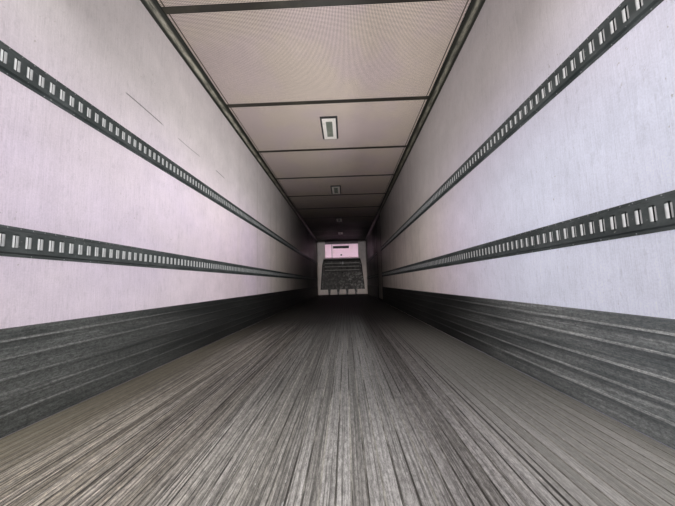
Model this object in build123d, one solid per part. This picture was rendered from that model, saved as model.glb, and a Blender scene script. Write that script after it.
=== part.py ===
from build123d import *
import os
from math import floor, radians, sin

# Insulated box body of a refrigerated semi-trailer, without its wheels and coupling.
# Millimetres, +Z up. +Y points to the front wall, +X to the side with the side door.
# The origin is on the centreline, at the underside of the floor crossmembers, halfway along.

# How far a cut passes through its piece
CUT = 1.0

# Load space
INSIDE_WIDTH = 2489.0
INSIDE_HEIGHT = 2690.0
BODY_LENGTH = 16154.0
SIDE_WALL = 50.5
RAIL_PROUD = 5.0
ROOF = 75.0
FRONT_WALL = 102.0
FRONT_CORNER = 80.0
SHEET_PITCH = 1219.0
SHEET_LAP = 50.0
LAP_PROUD = 2.0

# Floor
CROSSMEMBER_DEPTH = 102.0
CROSSMEMBER_FLANGE = 70.0
CROSSMEMBER_PITCH = 400.0
FLANGE_THICK = 7.0
WEB_THICK = 5.0
SUBFLOOR = 65.0
RIB_HEIGHT = 35.0
RIB_PITCH = 45.0
RIB_GAP = 7.0
RIB_TOP = 4.0
RIB_WEB = 3.5
FLOOR_SKIN = 3.0

# Coupler plate for a welded kingpin
COUPLER_THICK = 10.0
COUPLER_WIDTH = 1220.0
COUPLER_LENGTH = 1440.0
KINGPIN_SETBACK = 915.0
KINGPIN_BORE_RADIUS = 35.5

# Outer rails
BOTTOM_RAIL_LOW = 12.0
BOTTOM_RAIL_BELOW_FLOOR = 10.0
BOTTOM_RAIL_STEP = 6.0
BOTTOM_RAIL_DIP = 2.0
BOTTOM_RAIL_BAND = 12.0
BOTTOM_RAIL_EDGE = 18.0
BOTTOM_RAIL_BLEND = 4.0
TOP_RAIL_HEIGHT = 135.0
TOP_RAIL_LIP = 30.0
TOP_RAIL_LIP_THICK = 4.0
TOP_RAIL_SOFT = 6.0

# Wall fittings of the load space
SCUFF_HEIGHT = 433.0
SCUFF_THICK = 5.0
SCUFF_RIDGES = (84.0, 151.0, 228.0, 311.0, 382.0)
SCUFF_RIDGE_PROUD = 4.0
SCUFF_RIDGE_HALF = 7.0
CARGO_RAIL_HEIGHTS = (792.0, 1554.0)
CARGO_RAIL_HEIGHT = 128.0
CARGO_RAIL_BAND = 92.0
CARGO_RAIL_PROUD = 13.0
CARGO_RAIL_SHEET = 2.7
CARGO_RAIL_SLOPE = 6.0
COVE_SIZE = 73.0
COVE_FLANGE = 12.0
COVE_SHEET = 4.0

# Ceiling
CEILING_JOINT_PITCH = 1219.0
CEILING_JOINT_FIRST = 500.0
CEILING_JOINT_WIDTH = 60.0
CEILING_JOINT_THICK = 3.0
LAMP_DISTANCES = (2385.0, 5000.0, 8210.0, 10880.0)
LAMP_LENGTH = 560.0
LAMP_WIDTH = 200.0
LAMP_DEPTH = 18.0
LAMP_RIM = 58.0
LAMP_RIM_END = 85.0
LAMP_EDGE = 6.0
LENS_PROUD = 4.0
LAMP_ROOF = 6.0

# Evaporator section on the front wall
EVAPORATOR_HALF_WIDTH = 830.0
EVAPORATOR_LOW = 1800.0
EVAPORATOR_HIGH = 2498.0
EVAPORATOR_DEPTH = 270.0
EVAPORATOR_WALL = 12.0
EVAPORATOR_SLOPE = 30.0
OUTLET_WIDTH = 787.0
OUTLET_LOW = 2278.0
OUTLET_HIGH = 2394.0
OUTLET_SHIFT = -28.0
OUTLET_LIP_PROUD = 30.0
OUTLET_LIP_HEIGHT = 40.0
OUTLET_LIP_SIDE = 12.0
EVAPORATOR_RETURN_SIDE = 60.0
EVAPORATOR_RETURN_REAR = 90.0
EVAPORATOR_RETURN_FRONT = 20.0
HEADER_SETBACK = 60.0
WALL_OPENING_SIDE = 70.0
WALL_OPENING_INSET = 40.0

# Return air bulkhead
BULKHEAD_TOP = 1772.0
BULKHEAD_TOP_HALF = 917.0
BULKHEAD_SHOULDER = 1460.0
BULKHEAD_SHOULDER_HALF = 991.0
BULKHEAD_LOW_HALF = 1090.0
BULKHEAD_DEPTH = 110.0
BULKHEAD_WALL = 10.0
BULKHEAD_LEGS = 4
BULKHEAD_LEG_SPREAD = 660.0
BULKHEAD_LEG_HEIGHT = 262.0
BULKHEAD_LEG_LAP = 60.0
BULKHEAD_LEG_TOP = 150.0
BULKHEAD_LEG_FOOT = 80.0
BULKHEAD_RIBS = 5
BULKHEAD_RIB_FIRST = 212.0
BULKHEAD_RIB_PITCH = 172.0
BULKHEAD_RIB_HEIGHT = 66.0
BULKHEAD_RIB_PROUD = 22.0
BULKHEAD_RIB_INSET = 60.0
BULKHEAD_CAP_HEIGHT = 120.0

# Rear frame
REAR_FRAME_DEPTH = 110.0
REAR_POST_INSIDE = 9.5
REAR_POST_LEAD = 15.0
REAR_OPENING_HEIGHT = 2640.0
BUMPER_WIDTH = 130.0
BUMPER_HEIGHT = 110.0
BUMPER_DEPTH = 75.0
BUMPER_LOW = 10.0
BUMPER_FROM_SIDE = 45.0
BUMPER_CHAMFER = 10.0
LAMP_PROUD = 12.0
TAIL_LAMP_PLACES = (560.0, 760.0)
TAIL_LAMP_WIDTH = 160.0
TAIL_LAMP_HEIGHT = 60.0
MARKER_WIDTH = 100.0
MARKER_HEIGHT = 26.0
MARKER_PITCH = 180.0
MARKER_DROP = 42.0

# Rear doors
DOOR_THICK = 75.0
DOOR_SEAL = 12.0
DOOR_GAP = 5.0
DOOR_MIDDLE_GAP = 12.0
DOOR_BEVEL = 16.0
DOOR_BEVEL_SHARE = 0.35
SEAL_INSET = 4.0
SEAL_DEPTH = 20.0
DOOR_HINGES = 4
DOOR_HINGE_END = 180.0
DOOR_OPEN = 270.0

# Hinges of the rear doors
PIN_INSET = 2.0
PIN_BEHIND = 70.0
PIN_RADIUS = 9.0
PIN_CLEARANCE = 0.3
KNUCKLE_RADIUS = 17.0
KNUCKLE_HEIGHT = 60.0
LUG_HEIGHT = 22.0
LUG_GAP = 2.0
LUG_FOOT = 44.0
LEAF_PAD = 150.0
LEAF_PLATE = 9.0
LEAF_SETBACK = 14.0
OCTAGON = 0.414

# Lock rods of the doors
ROD_RADIUS = 13.5
ROD_STANDOFF = 34.0
ROD_FROM_MIDDLE = 215.0
ROD_FROM_EDGE = 243.0
ROD_PLAY = 0.3
ROD_GUIDES = 3
GUIDE_SHEET = 6.0
GUIDE_FOOT = 18.0
GUIDE_HEIGHT = 34.0
GUIDE_END = 300.0
ROD_OVERRUN = 58.0
CAM_WIDTH = 40.0
CAM_HEIGHT = 34.0
CAM_OFF_FACE = 8.0
CAM_CLEARANCE = 6.0
KEEPER_PLATE = 8.0
HUB_WALL = 6.0
HUB_HEIGHT = 70.0
HANDLE_HEIGHT = 980.0
HANDLE_STEP = 130.0
HANDLE_LENGTH = 400.0
HANDLE_BAR_HEIGHT = 34.0
HANDLE_THICK = 10.0
CATCH_SHARE = 0.85
CATCH_WIDTH = 50.0
CATCH_SHEET = 5.0
CATCH_PLAY = 2.0

# Side door
SIDE_DOOR_FROM_FRONT = 4820.0
SIDE_DOOR_WIDTH = 1100.0
SIDE_DOOR_HEIGHT = 2600.0
SIDE_FRAME = 40.0
SIDE_FLANGE = 12.0
SIDE_FLANGE_PROUD = 3.0
SIDE_DOOR_GAP = 8.0
SIDE_DOOR_SEAL = 9.0
SIDE_DOOR_BEVEL = 6.0
SIDE_DOOR_RECESS = 2.0
SIDE_DOOR_BEVEL_DEPTH = 25.0
SIDE_PIN_OUT = 26.0
SIDE_PIN_ASIDE = 16.0
SIDE_KNUCKLE_RADIUS = 12.0
SIDE_PIN_RADIUS = 6.0
SIDE_LEAF_PAD = 120.0
SIDE_LEAF_PLATE = 6.0
SIDE_HINGES = 3
SIDE_ROD_RADIUS = 9.0
SIDE_ROD_STANDOFF = 18.0
SIDE_ROD_INSET = 930.0
SIDE_ROD_END = 30.0
SIDE_GUIDES = 3
SIDE_HANDLE_LENGTH = 280.0
SIDE_HANDLE_HEIGHT = 620.0

# Refrigeration unit outside the front wall
UNIT_HALF_WIDTH = 975.0
UNIT_LOW = 760.0
UNIT_HIGH = 2905.0
UNIT_DEPTH = 560.0
UNIT_SHELL = 25.0
UNIT_CORNER = 120.0
UNIT_BROW = 190.0
UNIT_DIVIDER_HEIGHT = 1830.0
UNIT_DIVIDER = 60.0
UNIT_WINDOW_INSET = 130.0
UNIT_BAY_DROP = 60.0
UNIT_SIDE_SHELLS = 2
UNIT_FRONT_SHELLS = 4
GRILLE_LOUVRES = 14
GRILLE_RIM = 26.0
GRILLE_DEPTH = 40.0
LOUVRE_THICK = 5.0
LOUVRE_TILT = 35.0
LOUVRE_INSET = 4.0
LOUVRE_END = 20.0
GRILLE_RECESS = 6.0
UNIT_DOOR_THICK = 32.0
UNIT_DOOR_GAP = 6.0
UNIT_DOOR_CHAMFER = 4.0
UNIT_FIELD_MARGIN = 90.0
UNIT_FIELD_DEPTH = 10.0
UNIT_PIN_ASIDE = 14.0
UNIT_PIN_OUT = 20.0
UNIT_LEAF_PAD = 60.0
UNIT_LEAF_PLATE = 5.0
UNIT_PIN_RADIUS = 6.0
UNIT_KNUCKLE_RADIUS = 12.0
UNIT_HINGE_END = 90.0
UNIT_LUG_SINK = 3.0
ENGINE_SIZE = (1250.0, 330.0, 640.0)
ENGINE_MOUNT = 60.0
ENGINE_BACK = 60.0
ENGINE_MOUNT_HALF = 60.0
ENGINE_MOUNT_INSET = 40.0

# Levels and planes that follow from the sizes above
half_inside = INSIDE_WIDTH / 2
wall_skin = half_inside + SIDE_WALL
half_outside = wall_skin + RAIL_PROUD
subfloor_top = CROSSMEMBER_DEPTH + SUBFLOOR
floor_top = subfloor_top + RIB_HEIGHT
ceiling = floor_top + INSIDE_HEIGHT
roof_top = ceiling + ROOF
rear_face = -BODY_LENGTH / 2
front_face = BODY_LENGTH / 2
rear_inner = rear_face + REAR_FRAME_DEPTH
front_inner = front_face - FRONT_WALL
opening_top = floor_top + REAR_OPENING_HEIGHT
rear_half_opening = half_inside - REAR_POST_INSIDE
side_front = front_inner - SIDE_DOOR_FROM_FRONT
side_rear = side_front - SIDE_DOOR_WIDTH
side_top = floor_top + SIDE_DOOR_HEIGHT
bottom_rail_top = floor_top - BOTTOM_RAIL_BELOW_FLOOR
top_rail_low = roof_top - TOP_RAIL_HEIGHT
crossmember_half = wall_skin - BOTTOM_RAIL_STEP


def block(low, high):
    """A block between its low and its high corner."""
    size = [b - a for a, b in zip(low, high)]
    middle = [(a + b) / 2 for a, b in zip(low, high)]
    return Pos(*middle) * Box(*size)


def along_x(outline, start, end):
    """An outline in Y and Z, drawn from one X to another."""
    face = Plane.YZ * (Pos(0, 0, start) * make_face(Polyline(*outline, close=True)))
    return extrude(face, end - start, dir=(1, 0, 0))


def along_y(outline, start, end):
    """An outline in X and Z, drawn from one Y to another."""
    face = Plane.XZ * (Pos(0, 0, -start) * make_face(Polyline(*outline, close=True)))
    return extrude(face, end - start, dir=(0, 1, 0))


def along_z(outline, start, end):
    """An outline in X and Y, drawn from one Z to another."""
    face = Pos(0, 0, start) * make_face(Polyline(*outline, close=True))
    return extrude(face, end - start, dir=(0, 0, 1))


def post(x, y, radius, low, high):
    """An upright cylinder."""
    return Pos(x, y, (low + high) / 2) * Cylinder(radius, high - low)


def steps(first, last, count):
    """Evenly spaced values from the first to the last."""
    return [first + (last - first) * index / (count - 1) for index in range(count)]


def flipped(shape):
    """The same shape on the other side of the centreline."""
    return mirror(shape, about=Plane.YZ)


def save(name, shape):
    """Write one piece of the body, as one or more separate solids."""
    solids = shape.solids() if not isinstance(shape, list) else [s for part in shape for s in part.solids()]
    result = solids[0] if len(solids) == 1 else Compound(children=list(solids))
    result.label = name
    export_step(result, f"parts/{name}.step")


# Floor

def crossmember(y, low):
    """One I beam across the body, with its top under the insulated floor."""
    half = CROSSMEMBER_FLANGE / 2
    web = WEB_THICK / 2
    top = CROSSMEMBER_DEPTH
    outline = [
        (y - half, low), (y + half, low), (y + half, low + FLANGE_THICK), (y + web, low + FLANGE_THICK),
        (y + web, top - FLANGE_THICK), (y + half, top - FLANGE_THICK), (y + half, top), (y - half, top),
        (y - half, top - FLANGE_THICK), (y - web, top - FLANGE_THICK), (y - web, low + FLANGE_THICK),
        (y - half, low + FLANGE_THICK),
    ]
    return along_x(outline, -crossmember_half, crossmember_half)


def kingpin_y():
    """The kingpin's place, midway between two crossmembers."""
    bay = round((front_face - KINGPIN_SETBACK) / CROSSMEMBER_PITCH - 0.5)
    return (bay + 0.5) * CROSSMEMBER_PITCH


def crossmembers():
    """The beams under the floor, shallower where they rest on the coupler plate."""
    plate_rear = kingpin_y() - COUPLER_LENGTH / 2
    plate_front = kingpin_y() + COUPLER_LENGTH / 2
    reach = CROSSMEMBER_FLANGE / 2
    count = floor((front_inner - reach) / CROSSMEMBER_PITCH)
    beams = []
    for index in range(-count, count + 1):
        y = index * CROSSMEMBER_PITCH
        if y - reach < rear_inner:
            continue
        on_plate = plate_rear - reach < y < plate_front + reach
        beams.append(crossmember(y, COUPLER_THICK if on_plate else 0.0))
    return beams


def coupler_plate():
    """The flat plate that rides on the tractor, with the hole for its kingpin."""
    y = kingpin_y()
    half = COUPLER_WIDTH / 2
    plate = block((-half, y - COUPLER_LENGTH / 2, 0), (half, y + COUPLER_LENGTH / 2, COUPLER_THICK))
    return plate - post(0, y, KINGPIN_BORE_RADIUS, -CUT, COUPLER_THICK + CUT)


def t_floor():
    """The aluminium floor: one skin with T-shaped ribs along the body."""
    count = floor(INSIDE_WIDTH / RIB_PITCH)
    first = -(count - 1) * RIB_PITCH / 2
    base = subfloor_top + FLOOR_SKIN
    under = floor_top - RIB_TOP
    half_top = (RIB_PITCH - RIB_GAP) / 2
    half_web = RIB_WEB / 2
    outline = [(half_inside, base), (half_inside, subfloor_top), (-half_inside, subfloor_top), (-half_inside, base)]
    for index in range(count):
        x = first + index * RIB_PITCH
        outline += [
            (x - half_web, base), (x - half_web, under), (x - half_top, under), (x - half_top, floor_top),
            (x + half_top, floor_top), (x + half_top, under), (x + half_web, under), (x + half_web, base),
        ]
    return along_y(outline, rear_inner, front_inner)


def bottom_rail():
    """The right bottom rail: a beaded web outside the wall, stepped under it for the beams."""
    inner = crossmember_half
    low = BOTTOM_RAIL_LOW
    top = bottom_rail_top
    out = half_outside
    dipped = out - BOTTOM_RAIL_DIP
    edge = BOTTOM_RAIL_EDGE
    blend = BOTTOM_RAIL_BLEND
    band = CROSSMEMBER_DEPTH + BOTTOM_RAIL_BAND
    outline = [
        (inner, low), (out, low), (out, low + edge), (dipped, low + edge + blend),
        (dipped, CROSSMEMBER_DEPTH - blend), (out, CROSSMEMBER_DEPTH), (out, band), (dipped, band + blend),
        (dipped, top - edge), (out, top - edge + blend), (out, top - blend), (wall_skin, top),
        (wall_skin, CROSSMEMBER_DEPTH), (inner, CROSSMEMBER_DEPTH),
    ]
    return along_y(outline, rear_inner, front_inner)


# Walls and roof

def wall(rear, front):
    """A stretch of right side wall, with the laps where its outer sheets meet."""
    panel = block((half_inside, rear, CROSSMEMBER_DEPTH), (wall_skin, front, ceiling))
    count = floor((front_inner - rear_inner) / SHEET_PITCH)
    for index in range(1, count + 1):
        lap_front = front_inner - index * SHEET_PITCH + SHEET_LAP / 2
        lap_rear = lap_front - SHEET_LAP
        if lap_rear > rear and lap_front < front:
            panel += block((wall_skin, lap_rear, bottom_rail_top), (wall_skin + LAP_PROUD, lap_front, top_rail_low))
    return panel


def roof_panel():
    """The insulated roof between the top rails."""
    return block((-wall_skin, rear_inner, ceiling), (wall_skin, front_inner, roof_top))


def top_rail():
    """The right top rail: a web outside the wall with a lip over the roof's edge."""
    top = roof_top + TOP_RAIL_LIP_THICK
    soft = TOP_RAIL_SOFT
    outline = [
        (wall_skin, top_rail_low), (half_outside - soft / 3, top_rail_low), (half_outside, top_rail_low + soft),
        (half_outside, top - soft), (half_outside - soft, top), (wall_skin - TOP_RAIL_LIP, top),
        (wall_skin - TOP_RAIL_LIP, roof_top), (wall_skin, roof_top),
    ]
    return along_y(outline, rear_inner, front_inner)


def front_wall():
    """The front wall with round outer corners and the opening behind the evaporator."""
    outline = [
        (-half_outside, front_inner), (half_outside, front_inner),
        (half_outside, front_face), (-half_outside, front_face),
    ]
    panel = along_z(outline, 0, roof_top)
    corners = panel.edges().filter_by(Axis.Z).group_by(Axis.Y)[-1]
    panel = fillet(corners, FRONT_CORNER)
    low = floor_top + EVAPORATOR_LOW + WALL_OPENING_INSET
    high = floor_top + EVAPORATOR_HIGH - WALL_OPENING_INSET
    half = EVAPORATOR_HALF_WIDTH - WALL_OPENING_SIDE
    return panel - block((-half, front_inner - CUT, low), (half, front_face + CUT, high))


# Wall fittings of the load space

def scuff_liner(rear, front):
    """A ribbed kick liner along the foot of the right wall."""
    back = half_inside
    face = half_inside - SCUFF_THICK
    outline = [(back, floor_top), (face, floor_top)]
    for height in SCUFF_RIDGES:
        z = floor_top + height
        outline += [
            (face, z - SCUFF_RIDGE_HALF), (face - SCUFF_RIDGE_PROUD, z - SCUFF_RIDGE_HALF / 2),
            (face - SCUFF_RIDGE_PROUD, z + SCUFF_RIDGE_HALF / 2), (face, z + SCUFF_RIDGE_HALF),
        ]
    top = floor_top + SCUFF_HEIGHT
    outline += [(face, top - SCUFF_THICK), (back, top)]
    return along_y(outline, rear, front)


def cargo_rail(rear, front, height):
    """A hat-shaped cargo rail on the right wall: two flanges and a raised band."""
    z = floor_top + height
    back = half_inside
    sheet = CARGO_RAIL_SHEET
    edge = CARGO_RAIL_HEIGHT / 2
    band = CARGO_RAIL_BAND / 2
    foot = band + CARGO_RAIL_SLOPE
    crown = back - CARGO_RAIL_PROUD
    outline = [
        (back, z - edge), (back - sheet, z - edge), (back - sheet, z - foot), (crown, z - band),
        (crown, z + band), (back - sheet, z + foot), (back - sheet, z + edge), (back, z + edge),
        (back, z + foot - sheet), (crown + sheet, z + band - sheet),
        (crown + sheet, z - band + sheet), (back, z - foot + sheet),
    ]
    return along_y(outline, rear, front)


def cargo_rails(rear, front):
    """Both cargo rails on one stretch of wall."""
    return [cargo_rail(rear, front, height) for height in CARGO_RAIL_HEIGHTS]


def cove():
    """The slanted trim between the right wall and the ceiling."""
    x = half_inside
    z = ceiling
    size = COVE_SIZE
    flange = COVE_FLANGE
    sheet = COVE_SHEET
    outline = [
        (x, z - size), (x - sheet, z - size), (x - sheet, z - size + flange - sheet / 2),
        (x - size + flange - sheet / 2, z - sheet), (x - size, z - sheet), (x - size, z),
        (x - size + flange, z), (x, z - size + flange),
    ]
    return along_y(outline, rear_inner, front_inner)


def ceiling_joints():
    """The strips over the joints of the ceiling sheets."""
    half = half_inside - COVE_SIZE
    length = front_inner - rear_inner - CEILING_JOINT_FIRST
    strips = []
    for index in range(floor(length / CEILING_JOINT_PITCH) + 1):
        y = front_inner - CEILING_JOINT_FIRST - index * CEILING_JOINT_PITCH
        low = (-half, y - CEILING_JOINT_WIDTH / 2, ceiling - CEILING_JOINT_THICK)
        strips.append(block(low, (half, y + CEILING_JOINT_WIDTH / 2, ceiling)))
    return strips


def lamp_housing(distance):
    """A ceiling lamp's shallow tray, open below."""
    y = front_inner - distance
    half_x = LAMP_WIDTH / 2
    half_y = LAMP_LENGTH / 2
    tray = block((-half_x, y - half_y, ceiling - LAMP_DEPTH), (half_x, y + half_y, ceiling))
    tray = chamfer(tray.faces().sort_by(Axis.Z)[0].edges(), LAMP_EDGE)
    hollow_x = half_x - LAMP_RIM
    hollow_y = half_y - LAMP_RIM_END
    hollow_top = ceiling - LAMP_ROOF
    return tray - block((-hollow_x, y - hollow_y, ceiling - LAMP_DEPTH - CUT), (hollow_x, y + hollow_y, hollow_top))


def lamp_lens(distance):
    """The lens in a ceiling lamp's tray."""
    y = front_inner - distance
    half_x = LAMP_WIDTH / 2 - LAMP_RIM
    half_y = LAMP_LENGTH / 2 - LAMP_RIM_END
    low = ceiling - LAMP_DEPTH - LENS_PROUD
    lens = block((-half_x, y - half_y, low), (half_x, y + half_y, ceiling - LAMP_ROOF))
    return chamfer(lens.faces().sort_by(Axis.Z)[0].edges(), LENS_PROUD * 0.8)


# Front wall fittings

def evaporator_cover():
    """The white evaporator housing: a sloped shell with its hooded air outlet, and the duct header above."""
    half = EVAPORATOR_HALF_WIDTH
    low = floor_top + EVAPORATOR_LOW
    high = floor_top + EVAPORATOR_HIGH
    back = front_inner
    front = front_inner - EVAPORATOR_DEPTH
    slope = EVAPORATOR_SLOPE
    outline = [(back, low), (front + slope, low), (front, low + slope), (front, high), (back, high)]
    shell = along_x(outline, -half, half)
    upright = shell.edges().filter_by(Axis.Z).group_by(Axis.Y)[0]
    shell = chamfer(upright, EVAPORATOR_WALL)
    thick = EVAPORATOR_WALL
    inner_slope = slope + thick / 2
    inner = [
        (back + CUT, low + thick), (front + inner_slope, low + thick), (front + thick, low + inner_slope),
        (front + thick, high - thick), (back + CUT, high - thick),
    ]
    shell -= along_x(inner, -half + thick, half - thick)
    left = OUTLET_SHIFT - OUTLET_WIDTH / 2
    right = OUTLET_SHIFT + OUTLET_WIDTH / 2
    top = floor_top + OUTLET_HIGH
    shell -= block((left, front - CUT, floor_top + OUTLET_LOW), (right, front + thick + CUT, top))
    lip = [(front, top), (front - OUTLET_LIP_PROUD, top), (front, top + OUTLET_LIP_HEIGHT)]
    shell += along_x(lip, left - OUTLET_LIP_SIDE, right + OUTLET_LIP_SIDE)
    return_half = half - EVAPORATOR_RETURN_SIDE
    return_low = (-return_half, back - EVAPORATOR_RETURN_REAR, low - CUT)
    return_high = (return_half, back - EVAPORATOR_RETURN_FRONT, low + thick + CUT)
    shell -= block(return_low, return_high)
    header = block((-half, front + HEADER_SETBACK, high), (half, back, ceiling - CEILING_JOINT_THICK))
    return [shell, header]


def air_bulkhead():
    """The moulded return air bulkhead: a shell that widens downwards, on tapered legs, with ribs near its top."""
    back = front_inner
    face = front_inner - BULKHEAD_DEPTH
    top = floor_top + BULKHEAD_TOP
    shoulder = floor_top + BULKHEAD_SHOULDER
    foot = floor_top + BULKHEAD_LEG_HEIGHT
    thick = BULKHEAD_WALL
    outer = [
        (-BULKHEAD_LOW_HALF, foot), (BULKHEAD_LOW_HALF, foot), (BULKHEAD_SHOULDER_HALF, shoulder),
        (BULKHEAD_TOP_HALF, top), (-BULKHEAD_TOP_HALF, top), (-BULKHEAD_SHOULDER_HALF, shoulder),
    ]
    shell = along_y(outer, face, back)
    inner = [
        (-BULKHEAD_LOW_HALF + thick, foot - CUT), (BULKHEAD_LOW_HALF - thick, foot - CUT),
        (BULKHEAD_SHOULDER_HALF - thick, shoulder), (BULKHEAD_TOP_HALF - thick, top + CUT),
        (-BULKHEAD_TOP_HALF + thick, top + CUT), (-BULKHEAD_SHOULDER_HALF + thick, shoulder),
    ]
    shell -= along_y(inner, face + thick, back + CUT)
    lap = foot + BULKHEAD_LEG_LAP
    for x in steps(-BULKHEAD_LEG_SPREAD, BULKHEAD_LEG_SPREAD, BULKHEAD_LEGS):
        wide = BULKHEAD_LEG_TOP / 2
        narrow = BULKHEAD_LEG_FOOT / 2
        leg = [(x - wide, lap), (x - narrow, floor_top), (x + narrow, floor_top), (x + wide, lap)]
        shell += along_y(leg, face, back)
    half = BULKHEAD_TOP_HALF - BULKHEAD_RIB_INSET
    for index in range(BULKHEAD_RIBS):
        middle = top - BULKHEAD_RIB_FIRST - index * BULKHEAD_RIB_PITCH
        low = middle - BULKHEAD_RIB_HEIGHT / 2
        high = middle + BULKHEAD_RIB_HEIGHT / 2
        slope = BULKHEAD_RIB_HEIGHT / 3
        crown = face - BULKHEAD_RIB_PROUD
        shell += along_x([(face, low), (crown, low + slope), (crown, high - slope), (face, high)], -half, half)
    cap_low = (-BULKHEAD_TOP_HALF, face - BULKHEAD_RIB_PROUD, top - BULKHEAD_CAP_HEIGHT)
    shell += block(cap_low, (BULKHEAD_TOP_HALF, face, top))
    return shell


# Hinges, shared by the doors. Their outlines are in S and T from the pin's centre: S runs along
# the closed door from its hinge edge, and T from the pin towards the door's face.

def hinge_heights(low, high, count, end):
    """Heights of a door's hinges, the outer ones a set distance from its ends."""
    return steps(low + end, high - end, count)


def turned(outline, pin, s_way, t_way):
    """Points in S and T as points in X and Y."""
    return [
        (pin[0] + s * s_way[0] + t * t_way[0], pin[1] + s * s_way[1] + t * t_way[1])
        for s, t in outline
    ]


def hinge_lugs(pin, ways, z, sizes, depth, foot):
    """Two lug plates that hold a hinge pin. Foot is the S range of their seat, at the given depth."""
    knuckle, pin_radius, tall = sizes
    corner = knuckle * OCTAGON
    outline = [
        (foot[0], depth), (-knuckle, corner), (-knuckle, -corner), (-corner, -knuckle),
        (corner, -knuckle), (knuckle, -corner), (knuckle, corner), (foot[1], depth),
    ]
    outline = turned(outline, pin, *ways)
    low = z - tall / 2 - LUG_GAP
    high = z + tall / 2 + LUG_GAP
    lugs = along_z(outline, low - LUG_HEIGHT, low) + along_z(outline, high, high + LUG_HEIGHT)
    return lugs + post(pin[0], pin[1], pin_radius, low - LUG_HEIGHT, high + LUG_HEIGHT)


def hinge_leaf(pin, ways, z, sizes, depth, edge, pad, plate):
    """A forged leaf from the knuckle on the pin to its pad on the door's face."""
    knuckle, pin_radius, tall = sizes
    corner = knuckle * OCTAGON
    start = edge + LEAF_SETBACK
    outline = [
        (-knuckle, corner), (-knuckle, -corner), (-corner, -knuckle), (corner, -knuckle),
        (start, depth - plate), (start + pad, depth - plate), (start + pad, depth),
        (start - LEAF_SETBACK / 2, depth), (corner, knuckle), (-corner, knuckle),
    ]
    low = z - tall / 2
    high = z + tall / 2
    leaf = along_z(turned(outline, pin, *ways), low, high)
    return leaf - post(pin[0], pin[1], pin_radius + PIN_CLEARANCE, low - CUT, high + CUT)


# Rear frame

pin_x = half_outside - PIN_INSET
pin_y = rear_face - PIN_BEHIND
door_low = floor_top + DOOR_GAP + DOOR_SEAL
door_high = opening_top - DOOR_GAP - DOOR_SEAL
door_outer = rear_half_opening - DOOR_GAP - DOOR_SEAL
door_inner = DOOR_MIDDLE_GAP / 2
rod_places = (ROD_FROM_MIDDLE, door_outer - ROD_FROM_EDGE)
rear_hinge_heights = hinge_heights(door_low, door_high, DOOR_HINGES, DOOR_HINGE_END)
rear_pin = (pin_x, pin_y)
rear_ways = ((-1, 0), (0, 1))
rear_sizes = (KNUCKLE_RADIUS, PIN_RADIUS, KNUCKLE_HEIGHT)


def rear_post():
    """The right rear post, with the lugs and pins of its hinges."""
    outline = [
        (rear_half_opening, rear_face), (half_outside, rear_face), (half_outside, rear_inner),
        (half_inside, rear_inner), (rear_half_opening, rear_inner - REAR_POST_LEAD),
    ]
    shape = along_z(outline, 0, roof_top)
    for z in rear_hinge_heights:
        shape += hinge_lugs(rear_pin, rear_ways, z, rear_sizes, PIN_BEHIND, (-PIN_INSET, LUG_FOOT))
    return shape


def keeper(x, edge, far):
    """A fork for a lock rod's cam, open to the rear, from the opening's edge to past the cam's end."""
    inner = CAM_WIDTH / 2 + CAM_CLEARANCE
    outer = inner + KEEPER_PLATE
    rear = rear_face - ROD_STANDOFF - ROD_RADIUS
    low, high = sorted((edge, far))
    cap = (high - KEEPER_PLATE, high) if far > edge else (low, low + KEEPER_PLATE)
    return [
        block((x - outer, rear, low), (x - inner, rear_face, high)),
        block((x + inner, rear, low), (x + outer, rear_face, high)),
        block((x - inner, rear, cap[0]), (x + inner, rear_face, cap[1])),
    ]


def rear_header():
    """The beam over the rear doors with the keepers of the lock rods."""
    half = rear_half_opening
    shape = block((-half, rear_face, opening_top), (half, rear_inner, roof_top))
    far = door_high + ROD_OVERRUN + CAM_CLEARANCE + KEEPER_PLATE
    for x in rod_places:
        for side in (-1, 1):
            shape += keeper(side * x, opening_top, far)
    return shape


def rear_sill():
    """The beam under the rear doors with the keepers of the lock rods."""
    half = rear_half_opening
    shape = block((-half, rear_face, 0), (half, rear_inner, floor_top))
    far = door_low - ROD_OVERRUN - CAM_CLEARANCE - KEEPER_PLATE
    for x in rod_places:
        for side in (-1, 1):
            shape += keeper(side * x, floor_top, far)
    return shape


def dock_bumpers():
    """The rubber blocks that meet a loading dock."""
    outer = half_outside - BUMPER_FROM_SIDE
    bumper = block(
        (outer - BUMPER_WIDTH, rear_face - BUMPER_DEPTH, BUMPER_LOW), (outer, rear_face, BUMPER_LOW + BUMPER_HEIGHT)
    )
    bumper = chamfer(bumper.faces().sort_by(Axis.Y)[0].edges(), BUMPER_CHAMFER)
    return [bumper, flipped(bumper)]


def lamp_block(x, z, wide, tall):
    """A flat lamp on the rear frame's face."""
    low = (x - wide / 2, rear_face - LAMP_PROUD, z - tall / 2)
    return block(low, (x + wide / 2, rear_face, z + tall / 2))


def rear_lamps():
    """The stop and tail lamps in the sill and the markers in the header."""
    lamps = []
    for x in TAIL_LAMP_PLACES:
        for side in (-1, 1):
            lamps.append(lamp_block(side * x, floor_top / 2, TAIL_LAMP_WIDTH, TAIL_LAMP_HEIGHT))
    for index in (-1, 0, 1):
        lamps.append(lamp_block(index * MARKER_PITCH, roof_top - MARKER_DROP, MARKER_WIDTH, MARKER_HEIGHT))
    return lamps


# Rear doors, drawn closed on the right side and turned open about their pins

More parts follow.
